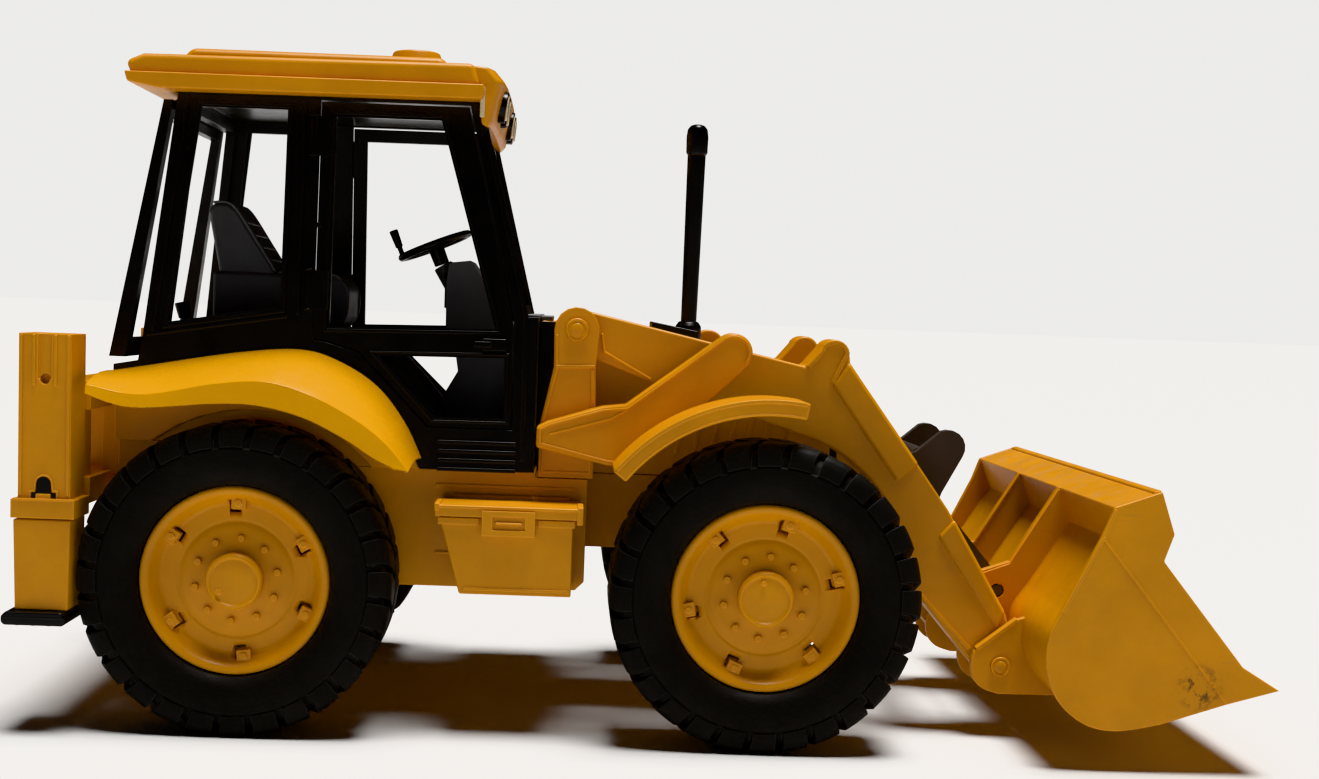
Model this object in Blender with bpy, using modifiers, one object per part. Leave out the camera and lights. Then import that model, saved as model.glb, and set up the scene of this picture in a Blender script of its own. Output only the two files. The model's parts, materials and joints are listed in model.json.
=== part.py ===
"""Toy backhoe loader with a front bucket, a cab, rear stabilisers and no rear digging arm.

X points forward, Y to the vehicle's left and Z up.  The origin is on the ground, midway
between the axles.  Every size below is in millimetres; MM turns it into metres.
"""
import math

import bmesh
import bpy
from mathutils import Matrix, Vector

MM = 0.001
GAP = 0.3                      # clearance between touching pieces
MERGE = 0.00001                # metres

# Wheels and axles
HALF_BASE = 85.3               # half the wheelbase
TYRE_R = 50.5
AXLE_Z = TYRE_R
WHEEL_Y = 67.5                 # middle of a wheel
TYRE_HALF = 16.5
RIM_HALF = 12.5
RIM_R = 30.5
AXLE_R = 2.0
KINGPIN_Y = 52.0
TIE_X = HALF_BASE - 12.8
TIE_Y = KINGPIN_Y - 0.5
PIN_SLACK = 0.9                # play of the tie rod's eyes on their pins

# Body and cab
BODY_HALF = 48.0
ARCH_HALF = 53.6
CHASSIS_REAR = -131.0
CAB_HALF = 53.5                # half width of the cab at CAB_REF
CAB_REF = 100.0
CAB_LEAN = 0.0888              # the cab's sides lean in by this much per unit of height
CAB_TOP = 212.0
CAB_WALL = 3.0
CAB_FRONT = 8.8
ROOM_TOP = 208.0               # ceiling of the cab's inside
DOOR_TOP = 207.0               # stays clear of the roof's lip as the leaning hinge lifts it
DOOR_GAP = 0.6                 # all round a door
DOOR_SKIN = (0.2, 2.8)         # depths of a door's faces below the cab's side
STRAP = (-2.2, -0.5)           # depths of a hinge strap's faces, outside the cab's side
STRAP_FOOTS = (138, 189)       # heights where the two hinge straps start
STRAP_TALL = 13
DOOR_HINGE_X = -68.0
DOOR_HINGE_OUT = 1.6           # hinge axis outside the cab's side
WINDOW_HINGE = (-117.2, 206.0)
SEAT_X = -83.5
WHEEL_HUB = (-30.5, 162.2)     # centre of the steering wheel
WHEEL_TILT = math.radians(22.4)

# Stabilisers
LEG_X = -144.9
LEG_Y = 76.0
STEM_HALF = 4.9                # half the leg's square stem
STEM_PLAY = 0.3                # between the stem and its casing
LEG_TOP = 68.8                 # where the leg's shoe meets the casing's collar

# Front axle
YOKE_FACES = (41, 44, 57, 60)  # undersides and tops of the yoke's two arms
YOKE_ROOT = 42.0
YOKE_TIP = 57.0
KINGPIN_R = 2.0
TIE_PIN_R = 1.2

# Loader
LIFT = (21.7, 134.4)           # arm pivot
DIG = (170.5, 24.9)            # bucket pivot
ARM_IN = 29.0
ARM_OUT = 45.0
LINK_VECTOR = (-30.7, 35.5)    # crank pivot seen from the bucket pivot
TILT_VECTOR = (2.6, 23.1)      # link pin seen from the crank pivot
CRANK = (DIG[0] + LINK_VECTOR[0], DIG[1] + LINK_VECTOR[1])
LINK_TOP = (CRANK[0] + TILT_VECTOR[0], CRANK[1] + TILT_VECTOR[1])
LINK_END = (DIG[0] + TILT_VECTOR[0], DIG[1] + TILT_VECTOR[1])
CRANK_NOSE = (154.7, 97.3)
PIN_R = 2.9
SMALL_PIN_R = 2.1
TUBE_R = 3.0                   # cross tube that the crank turns on
BUCKET_HALF = 90.0
BUCKET_WALL = 2.2

# Colours (linear), roughness
YELLOW = ((0.58, 0.30, 0.018), 0.42)
BRIGHT = ((0.72, 0.42, 0.012), 0.22)
BLACK = ((0.011, 0.011, 0.012), 0.38)
RUBBER = ((0.012, 0.012, 0.013), 0.62)
GREY = ((0.045, 0.048, 0.055), 0.55)
BROWN_GREY = ((0.050, 0.044, 0.038), 0.45)
STEEL = ((0.45, 0.45, 0.46), 0.30)

for old in list(bpy.data.objects):
    bpy.data.objects.remove(old, do_unlink=True)
PARTS = bpy.data.collections.new("toy_backhoe_loader")
CUTTERS = bpy.data.collections.new("cutters")
bpy.context.scene.collection.children.link(PARTS)
bpy.context.scene.collection.children.link(CUTTERS)


# ---------------------------------------------------------------- modelling tools
def solid_from(mesh):
    """Wrap a mesh in an object, with welded caps and faces pointing out."""
    shape = bmesh.new()
    shape.from_mesh(mesh)
    bmesh.ops.remove_doubles(shape, verts=shape.verts, dist=MERGE)
    bmesh.ops.recalc_face_normals(shape, faces=shape.faces)
    shape.to_mesh(mesh)
    shape.free()
    obj = bpy.data.objects.new("solid", mesh)
    CUTTERS.objects.link(obj)
    return obj


def settle(obj):
    """Turn an object and its modifiers into a plain solid in world space."""
    graph = bpy.context.evaluated_depsgraph_get()
    mesh = bpy.data.meshes.new_from_object(obj.evaluated_get(graph))
    mesh.transform(obj.matrix_world)
    bpy.data.objects.remove(obj, do_unlink=True)
    return solid_from(mesh)


def plate(outline, y0, y1):
    """Solid with a flat outline of (x, z) points, from y0 to y1."""
    curve = bpy.data.curves.new("outline", "CURVE")
    curve.dimensions = "2D"
    curve.fill_mode = "BOTH"
    curve.extrude = abs(y1 - y0) / 2 * MM
    spline = curve.splines.new("POLY")
    spline.points.add(len(outline) - 1)
    for point, (x, z) in zip(spline.points, outline):
        point.co = (x * MM, z * MM, 0, 1)
    spline.use_cyclic_u = True
    obj = bpy.data.objects.new("outline", curve)
    CUTTERS.objects.link(obj)
    obj.rotation_euler = (math.pi / 2, 0, 0)
    obj.location = (0, (y0 + y1) / 2 * MM, 0)
    return settle(obj)


def block(low, high):
    """Box between two corners."""
    shape = bmesh.new()
    bmesh.ops.create_cube(shape, size=1)
    size = [(b - a) * MM for a, b in zip(low, high)]
    middle = [(a + b) / 2 * MM for a, b in zip(low, high)]
    bmesh.ops.transform(shape, verts=shape.verts, matrix=Matrix.Diagonal((*size, 1)))
    bmesh.ops.translate(shape, verts=shape.verts, vec=middle)
    mesh = bpy.data.meshes.new("block")
    shape.to_mesh(mesh)
    shape.free()
    return solid_from(mesh)


def rod(start, end, radius, sides=16, end_radius=None):
    """Cylinder or cone between two points."""
    start, end = Vector(start) * MM, Vector(end) * MM
    along = end - start
    last = radius if end_radius is None else end_radius
    shape = bmesh.new()
    bmesh.ops.create_cone(shape, cap_ends=True, segments=sides, radius1=radius * MM,
                          radius2=last * MM, depth=along.length)
    turn = along.to_track_quat("Z", "Y").to_matrix().to_4x4()
    place = Matrix.Translation((start + end) / 2) @ turn
    bmesh.ops.transform(shape, verts=shape.verts, matrix=place)
    mesh = bpy.data.meshes.new("rod")
    shape.to_mesh(mesh)
    shape.free()
    return solid_from(mesh)


def turned(profile, centre, steps):
    """Ring turned about Y: a closed profile of (radius, y) about centre (x, z)."""
    mesh = bpy.data.meshes.new("profile")
    points = [(radius * MM, y * MM, 0) for radius, y in profile]
    edges = [(i, (i + 1) % len(points)) for i in range(len(points))]
    mesh.from_pydata(points, edges, [])
    obj = bpy.data.objects.new("profile", mesh)
    CUTTERS.objects.link(obj)
    screw = obj.modifiers.new("turn", "SCREW")
    screw.axis = "Y"
    screw.steps = steps
    screw.render_steps = steps
    screw.use_merge_vertices = True
    screw.merge_threshold = MERGE
    obj.location = (centre[0] * MM, 0, centre[1] * MM)
    return settle(obj)


def combine(base, others, operation):
    """Apply one Boolean operation with each of the other solids, which it uses up."""
    for other in others:
        step = base.modifiers.new("step", "BOOLEAN")
        step.operation = operation
        step.solver = "EXACT"
        step.object = other
    result = settle(base)
    for other in others:
        bpy.data.objects.remove(other, do_unlink=True)
    return result


def unite(base, *others):
    return combine(base, others, "UNION")


def cut(base, *others):
    return combine(base, others, "DIFFERENCE")


def mirrored(solid):
    """The same solid for the other side of the vehicle."""
    mesh = solid.data.copy()
    mesh.transform(Matrix.Scale(-1, 4, (0, 1, 0)))
    return solid_from(mesh)


def arc(centre, radius, start, end, count):
    """Points along an arc in the XZ plane, angles in degrees."""
    angles = [math.radians(start + (end - start) * i / count) for i in range(count + 1)]
    return [(centre[0] + radius * math.cos(a), centre[1] + radius * math.sin(a)) for a in angles]


def smooth(points, per_span):
    """Catmull-Rom curve through 2-D points."""
    padded = [points[0]] + points + [points[-1]]
    result = []
    for a, b, c, d in zip(padded, padded[1:], padded[2:], padded[3:]):
        for step in range(per_span):
            t = step / per_span
            result.append(tuple(
                0.5 * (2 * q + (r - p) * t + (2 * p - 5 * q + 4 * r - s) * t ** 2
                       + (3 * q - p - 3 * r + s) * t ** 3)
                for p, q, r, s in zip(a, b, c, d)))
    return result + [points[-1]]


def cab_half(z):
    """Half width of the cab's outside at a height."""
    return CAB_HALF - (z - CAB_REF) * CAB_LEAN


def lean(solid, inset):
    """Taper a prism that spans y = -1 to 1 to the cab's leaning sides, less an inset."""
    for vertex in solid.data.vertices:
        vertex.co.y *= cab_half(vertex.co.z / MM) - inset
    return solid


def side_plate(outline, outer, inner):
    """Plate along the cab's right side, from outer to inner depth below its surface."""
    solid = plate(outline, -1, 0)
    for vertex in solid.data.vertices:
        depth = outer if vertex.co.y < -0.5 * MM else inner
        vertex.co.y = -(cab_half(vertex.co.z / MM) - depth) * MM
    return solid


def piece(name, solid, look, pivot=None, metallic=0.0):
    """Name a solid, give it its material and put its origin on its pivot."""
    colour, roughness = look
    material = bpy.data.materials.new(name)
    material.use_nodes = True
    shader = material.node_tree.nodes["Principled BSDF"]
    shader.inputs["Base Color"].default_value = (*colour, 1)
    shader.inputs["Roughness"].default_value = roughness
    shader.inputs["Metallic"].default_value = metallic
    solid.name = name
    solid.data.name = name
    solid.data.materials.clear()
    solid.data.materials.append(material)
    solid.data.shade_smooth()
    solid.data.set_sharp_from_angle(angle=math.radians(30))
    if pivot is not None:
        place = Vector(pivot) * MM
        solid.data.transform(Matrix.Translation(-place))
        solid.location = place
    CUTTERS.objects.unlink(solid)
    PARTS.objects.link(solid)
    return solid


def pair(name, solid, look, pivot=None, metallic=0.0):
    """A right-hand piece and its mirrored left-hand twin."""
    twin = mirrored(solid)
    other = None if pivot is None else (pivot[0], -pivot[1], pivot[2])
    piece(name + "_right", solid, look, pivot, metallic)
    piece(name + "_left", twin, look, other, metallic)


# ---------------------------------------------------------------- chassis and rear body
ARCH = [(-131, 110), (-66, 119), (-47, 113), (-34, 98), (-29.5, 86)]


def build_chassis():
    """Hollow tub under the cab, with two open wells, and the narrow front rails."""
    tub_outline = [(CHASSIS_REAR, 50), (-126, 46), (24, 46), (27, 49), (27, 84), (9.4, 84),
                   (9.4, 85.7), (-66, 85.7), (-66, 92), (CHASSIS_REAR, 92)]
    tub = plate(tub_outline, -BODY_HALF, BODY_HALF)
    rails = block((26, -24, 58), (112, 24, 84))
    saddle = block((80, -10, 56.3), (90.6, 10, 58.5))
    body = unite(tub, rails, saddle)
    wells = [block((-127, y0, 44), (20, y1, 82)) for y0, y1 in ((-44.5, -5), (5, 44.5))]
    bore = rod((-HALF_BASE, -60, AXLE_Z), (-HALF_BASE, 60, AXLE_Z), AXLE_R + GAP, 12)
    piece("chassis", cut(body, *wells, bore), YELLOW)


def build_rear_body():
    """Solid arches over the rear wheels, under the cab."""
    outline = [(CHASSIS_REAR, 92.3), (-65.6, 92.3), (-65.6, 86)] + ARCH[::-1]
    body = plate(outline, -ARCH_HALF, ARCH_HALF)
    wells = []
    for side in (-1, 1):
        wells.append(rod((-HALF_BASE, side * 49.5, AXLE_Z), (-HALF_BASE, side * 60, AXLE_Z),
                         53.5, 40))
    piece("rear_body", cut(body, *wells), YELLOW)


def build_rear_fenders():
    """Pressed sheet: its inner edge, its crease and its lower lip follow three curves."""
    inner = smooth([(-132.4, 115.3), (-118.7, 117.8), (-90.6, 122.8), (-70, 124.5),
                    (-56.8, 121), (-44, 113.2), (-34.5, 101.6), (-28.6, 90)], 2)
    crease = smooth([(-132.4, 112.2), (-115, 109.6), (-92, 113.8), (-76, 115),
                     (-62, 111.4), (-48, 104.4), (-38, 97), (-30.2, 88)], 2)
    lip = smooth([(-132.4, 109.2), (-118, 105.4), (-92, 107.4), (-78, 107.2),
                  (-64, 104), (-50, 97.4), (-40, 91), (-31.6, 86.6)], 2)
    shape = bmesh.new()
    rows = []
    for line, outside in ((inner, None), (crease, 83), (lip, 84)):
        row = []
        for x, z in line:
            y = cab_half(z) + 1 if outside is None else outside
            row.append(shape.verts.new((x * MM, -y * MM, z * MM)))
        rows.append(row)
    for upper, lower in zip(rows, rows[1:]):
        for i in range(len(upper) - 1):
            shape.faces.new((upper[i], upper[i + 1], lower[i + 1], lower[i]))
    mesh = bpy.data.meshes.new("sheet")
    shape.to_mesh(mesh)
    shape.free()
    sheet = solid_from(mesh)
    shell = sheet.modifiers.new("shell", "SOLIDIFY")
    shell.thickness = 1.6 * MM
    shell.offset = 1 if sheet.data.polygons[0].normal.z < 0 else -1
    pair("rear_fender", settle(sheet), BRIGHT)


def build_rear_frame():
    """Two cross rails on posts behind the body, which carry the stabilisers."""
    front, back = CHASSIS_REAR - GAP, -150
    upper = block((back, -67.7, 103), (-135, 67.7, 112))
    lower = block((back, -67.7, 72.5), (-135, 67.7, 81))
    posts = [block((-148, y - 4, 80), (-137, y + 4, 104)) for y in (-63.5, -22, 22, 63.5)]
    mount = block((-138, -42, 80), (front, 42, 104))
    piece("rear_frame", unite(upper, lower, *posts, mount), YELLOW)


def build_stabilisers():
    """Square casings open at the bottom, sliding legs and hinged-on feet."""
    box = block((-153.1, -84, 71), (-136.6, -68, 127.5))
    collar = block((-155, -85.2, 69.2), (-135, -68, 75.2))
    room = STEM_HALF + STEM_PLAY
    bore = block((LEG_X - room, -LEG_Y - room, 60), (LEG_X + room, -LEG_Y + room, 124.5))
    groove = block((-147, -86, 113.3), (-142.8, -83, 130))
    holes = [rod((LEG_X, -90, z), (LEG_X, -80, z), 1.7, 12) for z in (113.3, 78.3)]
    pair("stabiliser_casing", cut(unite(box, collar), bore, groove, *holes), YELLOW)
    stem = block((LEG_X - STEM_HALF, -LEG_Y - STEM_HALF, 60),
                 (LEG_X + STEM_HALF, -LEG_Y + STEM_HALF, 122))
    shoe = plate([(-153.6, 40), (-136.8, 40), (-136.2, LEG_TOP), (-154.3, LEG_TOP)], -84.8, -68.2)
    pivot = (LEG_X, -LEG_Y, LEG_TOP)
    pair("stabiliser_leg", unite(stem, shoe), YELLOW, pivot)
    foot = plate([(-157, 36.4), (-156, 35.4), (-137.6, 35.4), (-136.6, 36.4), (-136.6, 38.2),
                  (-138.1, 39.7), (-155.5, 39.7), (-157, 38.2)], -88, -62)
    pair("stabiliser_foot", foot, BLACK, pivot)


# ---------------------------------------------------------------- cab
def build_cab_frame():
    """Hollow cab that leans in at the sides, cut by its doorways and windows."""
    arch = [(x + 0.3, z + GAP) for x, z in ARCH]
    outline = [(-132, 117.5), (-132, arch[0][1])] + arch
    outline += [(CAB_FRONT, arch[-1][1]), (CAB_FRONT, 138), (4.6, 138), (-15, CAB_TOP),
                (-113.5, CAB_TOP), (-122.9, 125.9), (-124, 119)]
    inside = [(-119.8, 122.5), (-50, 122.5), (-43.5, 116.8), (-30.5, 101.8), (-26, 89.5),
              (5.8, 89.5), (5.8, 134.5), (1.3, 136), (-17.6, ROOM_TOP), (-110.4, ROOM_TOP)]
    shell = lean(plate(outline, -1, 1), 0)
    room = lean(plate(inside, -1, 1), CAB_WALL)
    windscreen = lean(block((-20, -1, 142), (20, 1, 205)), 7)
    rear = lean(block((-140, -1, 127), (-105, 1, 203)), 6)
    quarter = plate([(-106.8, 203.9), (-77.2, 203.9), (-77.6, 138.5), (-113.9, 132.2)], -70, 70)
    top = DOOR_TOP + DOOR_GAP
    doorway = plate([(-66.5, top), (-16.4, top), (0.6, 136.4), (1.2, 100.1), (-26.9, 100.1),
                     (-50.6, 123.9), (-62, 127.3), (-66.5, 128)], -70, 70)
    piece("cab_frame", cut(shell, room, windscreen, rear, quarter, doorway), BLACK)


def build_doors():
    """Doors with two windows each, hung on two straps over the pillar."""
    panel = side_plate([(-66, DOOR_TOP), (-16.9, DOOR_TOP), (0.1, 136.4), (0.7, 100.6),
                        (-26.7, 100.6), (-50.3, 124.5), (-62, 127.9), (-66, 128.6)], *DOOR_SKIN)
    upper = plate([(-61, 202.3), (-25.9, 202.3), (-5.6, 133.6), (-61, 132.4)], -70, -30)
    lower = plate([(-45.3, 123.4), (-2.2, 124), (-1.8, 103.7), (-24.8, 103.5)], -70, -30)
    panel = cut(panel, upper, lower)
    straps = []
    for low in STRAP_FOOTS:
        high = low + STRAP_TALL
        outline = [(DOOR_HINGE_X, low), (-61.5, low), (-61.5, high), (DOOR_HINGE_X, high)]
        root = [(-65.2, low), (-61.5, low), (-61.5, high), (-65.2, high)]
        straps.append(side_plate(outline, *STRAP))
        straps.append(side_plate(root, STRAP[0], 1.0))
        ends = [(DOOR_HINGE_X, -cab_half(z) - DOOR_HINGE_OUT, z) for z in (low, high)]
        straps.append(rod(ends[0], ends[1], 1.2, 12))
    pivot = (DOOR_HINGE_X, -cab_half(140) - DOOR_HINGE_OUT, 140)
    pair("door", unite(panel, *straps), BLACK, pivot)


def build_roof():
    """Roof tray with a raised crown, a round hatch on top and a visor in front."""
    lip = plate([(-118, 208.4), (-12.6, 208.8), (-11.5, 211), (-11.8, 214), (-129.6, 214),
                 (-128.4, 210.2)], -54, 54)
    slab = plate([(-128, 213), (-13, 213), (-15.9, 220.5), (-123.7, 219.4), (-130, 217.2)],
                 -51.5, 51.5)
    crown = plate([(-118, 218), (-22, 218), (-27, 224.8), (-112, 224.8)], -34, 34)
    ledge = block((-114.4, -44.4, 200), (-13.7, 44.4, 212.3))
    hollow = block((-108, -38, 200), (-20, 38, 216.8))
    piece("cab_roof", cut(unite(lip, slab, crown), ledge, hollow), YELLOW)
    knob = rod((-39, 0, 225.1), (-39, 0, 229.4), 10.2, 24)
    cap = rod((-39, 0, 229), (-39, 0, 230.6), 10.2, 24, 8.6)
    piece("roof_hatch", unite(knob, cap), YELLOW)
    visor = plate([(-15.1, 220.5), (-7.9, 219.8), (-4.2, 215.3), (-7.4, 202.1), (-9.6, 200),
                   (-11, 201.5), (-11, 214.2)], -50, 50)
    piece("roof_visor", visor, YELLOW)


def build_rear_window():
    """Open frame that hangs from a knuckle under the roof."""
    outline = [(-118.9, 206), (-115.9, 206), (-128.6, 120), (-134, 120)]
    frame = lean(plate(outline, -1, 1), 1.5)
    hole = lean(block((-150, -1, 126), (-100, 1, 200)), 7)
    knuckle = rod((WINDOW_HINGE[0], -30, WINDOW_HINGE[1]), (WINDOW_HINGE[0], 30, WINDOW_HINGE[1]),
                  1.5, 12)
    pivot = (WINDOW_HINGE[0], 0, WINDOW_HINGE[1])
    piece("rear_window", unite(cut(frame, hole), knuckle), BLACK, pivot)


def build_cab_interior():
    """Swivelling seat on its base, dashboard with a column, steering wheel with a knob."""
    base = rod((SEAT_X, 0, 122.9), (SEAT_X, 0, 131.7), 11, 20, 9)
    piece("seat_base", base, GREY)
    cushion = plate([(-107, 132), (-62, 132), (-59.6, 134.5)]
                    + arc((-65.5, 144), 6, 0, 90, 4) + [(-107, 150)], -17, 17)
    back = plate([(-104.8, 148), (-84.5, 148), (-84.5, 150.4), (-100.6, 172), (-102.5, 173.6),
                  (-107.5, 173.6), (-109.4, 171.5)], -15.5, 15.5)
    piece("seat", unite(cushion, back), GREY, (SEAT_X, 0, 132))
    outline = [(-20, 89.9), (-25.6, 108), (-20, 117.8), (-21, 124), (-24.8, 134), (-25, 149),
               (-24.3, 156), (-16.5, 157), (-9, 147), (-6, 140.5), (0, 134), (4.6, 131),
               (5.4, 112), (5.4, 89.9)]
    axis = Vector((-math.sin(WHEEL_TILT), 0, math.cos(WHEEL_TILT)))
    hub = Vector((WHEEL_HUB[0], 0, WHEEL_HUB[1]))
    column = rod((-18, 0, 139), hub - axis * 7.6, 3.4, 12)
    piece("dashboard", unite(plate(outline, -15, 15), column), GREY)
    shape = bmesh.new()
    bmesh.ops.create_cone(shape, cap_ends=True, segments=24, radius1=14 * MM, radius2=14 * MM,
                          depth=2.4 * MM)
    rim_mesh = bpy.data.meshes.new("rim")
    shape.to_mesh(rim_mesh)
    shape.free()
    rim = solid_from(rim_mesh)
    rim = cut(rim, rod((0, 0, -5), (0, 0, 5), 11.6, 24))
    spokes = [block((-12.5, -1.3, -1), (12.5, 1.3, 1)), block((-1.3, -12.5, -1), (1.3, 0, 1))]
    boss = rod((0, 0, -7.2), (0, 0, 1.2), 2.6, 12)
    knob = rod((-12.8, 0, 0), (-12.8, 0, 10), 1.3, 10)
    wheel = unite(rim, *spokes, boss, knob)
    wheel.data.transform(Matrix.Rotation(-WHEEL_TILT, 4, "Y"))
    wheel.data.transform(Matrix.Translation(hub * MM))
    piece("steering_wheel", wheel, BLACK, hub)


# ---------------------------------------------------------------- hood, towers and front end
def build_front():
    """Hollow hood, slotted grille, exhaust pipe, and the forked towers for the arms."""
    hood = plate([(9.6, 84.4), (108, 84.4), (112, 90), (112, 112), (106, 120.5), (20, 136.3),
                  (9.6, 137)], -25.4, 25.4)
    bay = plate([(13, 80), (104, 80), (104, 110), (98, 117), (20, 132), (13, 132)], -19.5, 19.5)
    piece("hood", cut(hood, bay), YELLOW)
    grille = block((112.4, -23, 60), (115, 23, 115))
    slots = [block((110, -19, z), (118, 19, z + 3.4)) for z in range(66, 110, 8)]
    piece("grille", cut(grille, *slots), BLACK)
    base = plate([(47.8, 131.7), (64.4, 128.7), (64.4, 135.1), (47.8, 138)], -24, -6)
    pipe = rod((61.3, -15, 132), (61.3, -15, 205.4), 3.2, 16)
    tip = rod((61.3, -15, 205), (61.3, -15, 207.4), 3.2, 16, 1.8)
    piece("exhaust", unite(base, pipe, tip), BLACK)
    outline = [(10.2, 84.3), (28.8, 84.3), (28.8, 109), (28.4, 122), (29.3, 134.4)]
    outline += arc(LIFT, 7.6, 10, 180, 8) + [(14.4, 121.7), (10.2, 102)]
    tower = plate(outline, -48, -26)
    slot = block((5, -ARM_OUT - GAP, 119), (40, -ARM_IN + GAP, 150))
    bore = rod((LIFT[0], -60, LIFT[1]), (LIFT[0], -20, LIFT[1]), PIN_R + GAP)
    pair("loader_tower", cut(tower, slot, bore), YELLOW)
    pin = rod((LIFT[0], -49.2, LIFT[1]), (LIFT[0], -25.8, LIFT[1]), PIN_R)
    pair("loader_pin", pin, YELLOW)


def build_front_fenders():
    """Cover plate with a rising arm, and a band over the wheel in one piece with it."""
    hub = (HALF_BASE, AXLE_Z)
    wing = [(9.4, 95.1), (9.4, 101.8), (13, 103.7), (31, 109.3), (38.9, 110.3)]
    wing += arc((73.7, 128.8), 6.4, 125, -40, 7)
    wing += arc(hub, 62, 112, 140, 4) + [(33.8, 89.7)]
    cover = plate(wing, -58, -48.4)
    band = arc(hub, 64.6, 80, 141.8, 10) + arc(hub, 59.2, 141.8, 80, 10)
    pair("front_fender", unite(cover, plate(band, -84, -57)), YELLOW)


def build_toolboxes():
    """Open-topped boxes under the doors, with hinged lids and latches."""
    body = plate([(-13.9, 47.4), (22.6, 47.4), (22.6, 72.6), (-21, 72.6)], -71, -48.3)
    inside = plate([(-12.4, 49.4), (20.8, 49.4), (20.8, 80), (-21.2, 80)], -69.2, -50)
    pair("toolbox", cut(body, inside), YELLOW)
    lid = block((-22.2, -72.5, 72.9), (25.4, -50.4, 76.6))
    latch = block((-7, -73.4, 67), (10.2, -71.3, 75.2))
    knuckle = rod((-18, -50.2, 76.8), (21, -50.2, 76.8), 1.1, 10)
    pair("toolbox_lid", unite(lid, latch, knuckle), YELLOW, (0, -50.2, 76.8))


# ---------------------------------------------------------------- axles and wheels
def build_axles():
    """Wire rear axle; front beam with two yokes, steering knuckles and a tie rod."""
    rear = rod((-HALF_BASE, -76.4, AXLE_Z), (-HALF_BASE, 76.4, AXLE_Z), AXLE_R, 12)
    piece("rear_axle", rear, STEEL, metallic=1.0)
    beam = block((80, -46.5, 46), (90.6, 46.5, 56))
    bottom, lower, upper, top = YOKE_FACES
    shapes = []
    holes = []
    for side in (-1, 1):
        root, web, tip = side * YOKE_ROOT, side * (YOKE_ROOT + 4.7), side * YOKE_TIP
        shapes.append(block((79.5, min(root, web), bottom), (91.1, max(root, web), top)))
        shapes.append(block((79.5, min(root, tip), upper), (91.1, max(root, tip), top)))
        shapes.append(block((79.5, min(root, tip), bottom), (91.1, max(root, tip), lower)))
        holes.append(rod((HALF_BASE, side * KINGPIN_Y, 30), (HALF_BASE, side * KINGPIN_Y, 70),
                         KINGPIN_R + 0.4, 12))
    piece("front_axle", cut(unite(beam, *shapes), *holes), YELLOW)
    knuckle = block((HALF_BASE - 4, -57, lower + 0.4), (HALF_BASE + 4, -48.7, upper - 0.4))
    kingpin = rod((HALF_BASE, -KINGPIN_Y, 40.5), (HALF_BASE, -KINGPIN_Y, 60.5), KINGPIN_R, 12)
    stub = rod((HALF_BASE, -55, AXLE_Z), (HALF_BASE, -76.4, AXLE_Z), AXLE_R, 12)
    arm = block((TIE_X - 2, -TIE_Y - 2, 48.4), (HALF_BASE - 3, -TIE_Y + 2, 52.4))
    pin = rod((TIE_X, -TIE_Y, 44.4), (TIE_X, -TIE_Y, 50), TIE_PIN_R, 10)
    pair("steering_knuckle", unite(knuckle, kingpin, stub, arm, pin), BLACK,
         (HALF_BASE, -KINGPIN_Y, AXLE_Z))
    bar = rod((TIE_X, -TIE_Y + 2.5, 46.2), (TIE_X, TIE_Y - 2.5, 46.2), 1.4, 10)
    eyes = []
    bores = []
    for side in (-1, 1):
        spot = (TIE_X, side * TIE_Y)
        eyes.append(rod((*spot, 44.6), (*spot, 47.8), 3.6, 16))
        bores.append(rod((*spot, 40), (*spot, 50), TIE_PIN_R + PIN_SLACK, 16))
    piece("tie_rod", cut(unite(bar, *eyes), *bores), BLACK, (TIE_X, 0, 46.2))


def build_wheels():
    """Tyre, rim and hub cap of each wheel, its face to the outside."""
    half_tyre = [(29, 9.9), (30.9, 10.2), (30.9, 12.6), (38, TYRE_HALF), (46.5, 15.5),
                 (TYRE_R, 12)]
    tyre = [(r, -WHEEL_Y + y) for r, y in half_tyre]
    tyre += [(r, -WHEEL_Y - y) for r, y in reversed(half_tyre)]
    face = -WHEEL_Y - RIM_HALF
    rim = [(AXLE_R + GAP + 0.1, 3.5), (10, 3.5), (10, 5), (19, 5.4), (25, 6.4), (27.6, 0),
           (RIM_R, 0), (RIM_R, 1.6), (28.7, 2.2), (28.7, 22.8), (RIM_R, 23.4), (RIM_R, 25),
           (27.2, 25), (27.2, 8.8), (6, 8.8), (6, 14), (AXLE_R + GAP + 0.1, 14)]
    rim = [(r, face + depth) for r, depth in rim]
    for axle, x in (("rear", -HALF_BASE), ("front", HALF_BASE)):
        centre = (x, AXLE_Z)
        pivot = (x, -WHEEL_Y, AXLE_Z)
        pair(axle + "_tyre", turned(tyre, centre, 32), RUBBER, pivot)
        pair(axle + "_rim", turned(rim, centre, 24), YELLOW, pivot)
        cap = rod((x, face - 0.5, AXLE_Z), (x, face + 3.2, AXLE_Z), 9, 20)
        edge = rod((x, face - 0.2, AXLE_Z), (x, face - 1.6, AXLE_Z), 9, 20, 7.8)
        pair(axle + "_hub_cap", unite(cap, edge), YELLOW, pivot)


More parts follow.
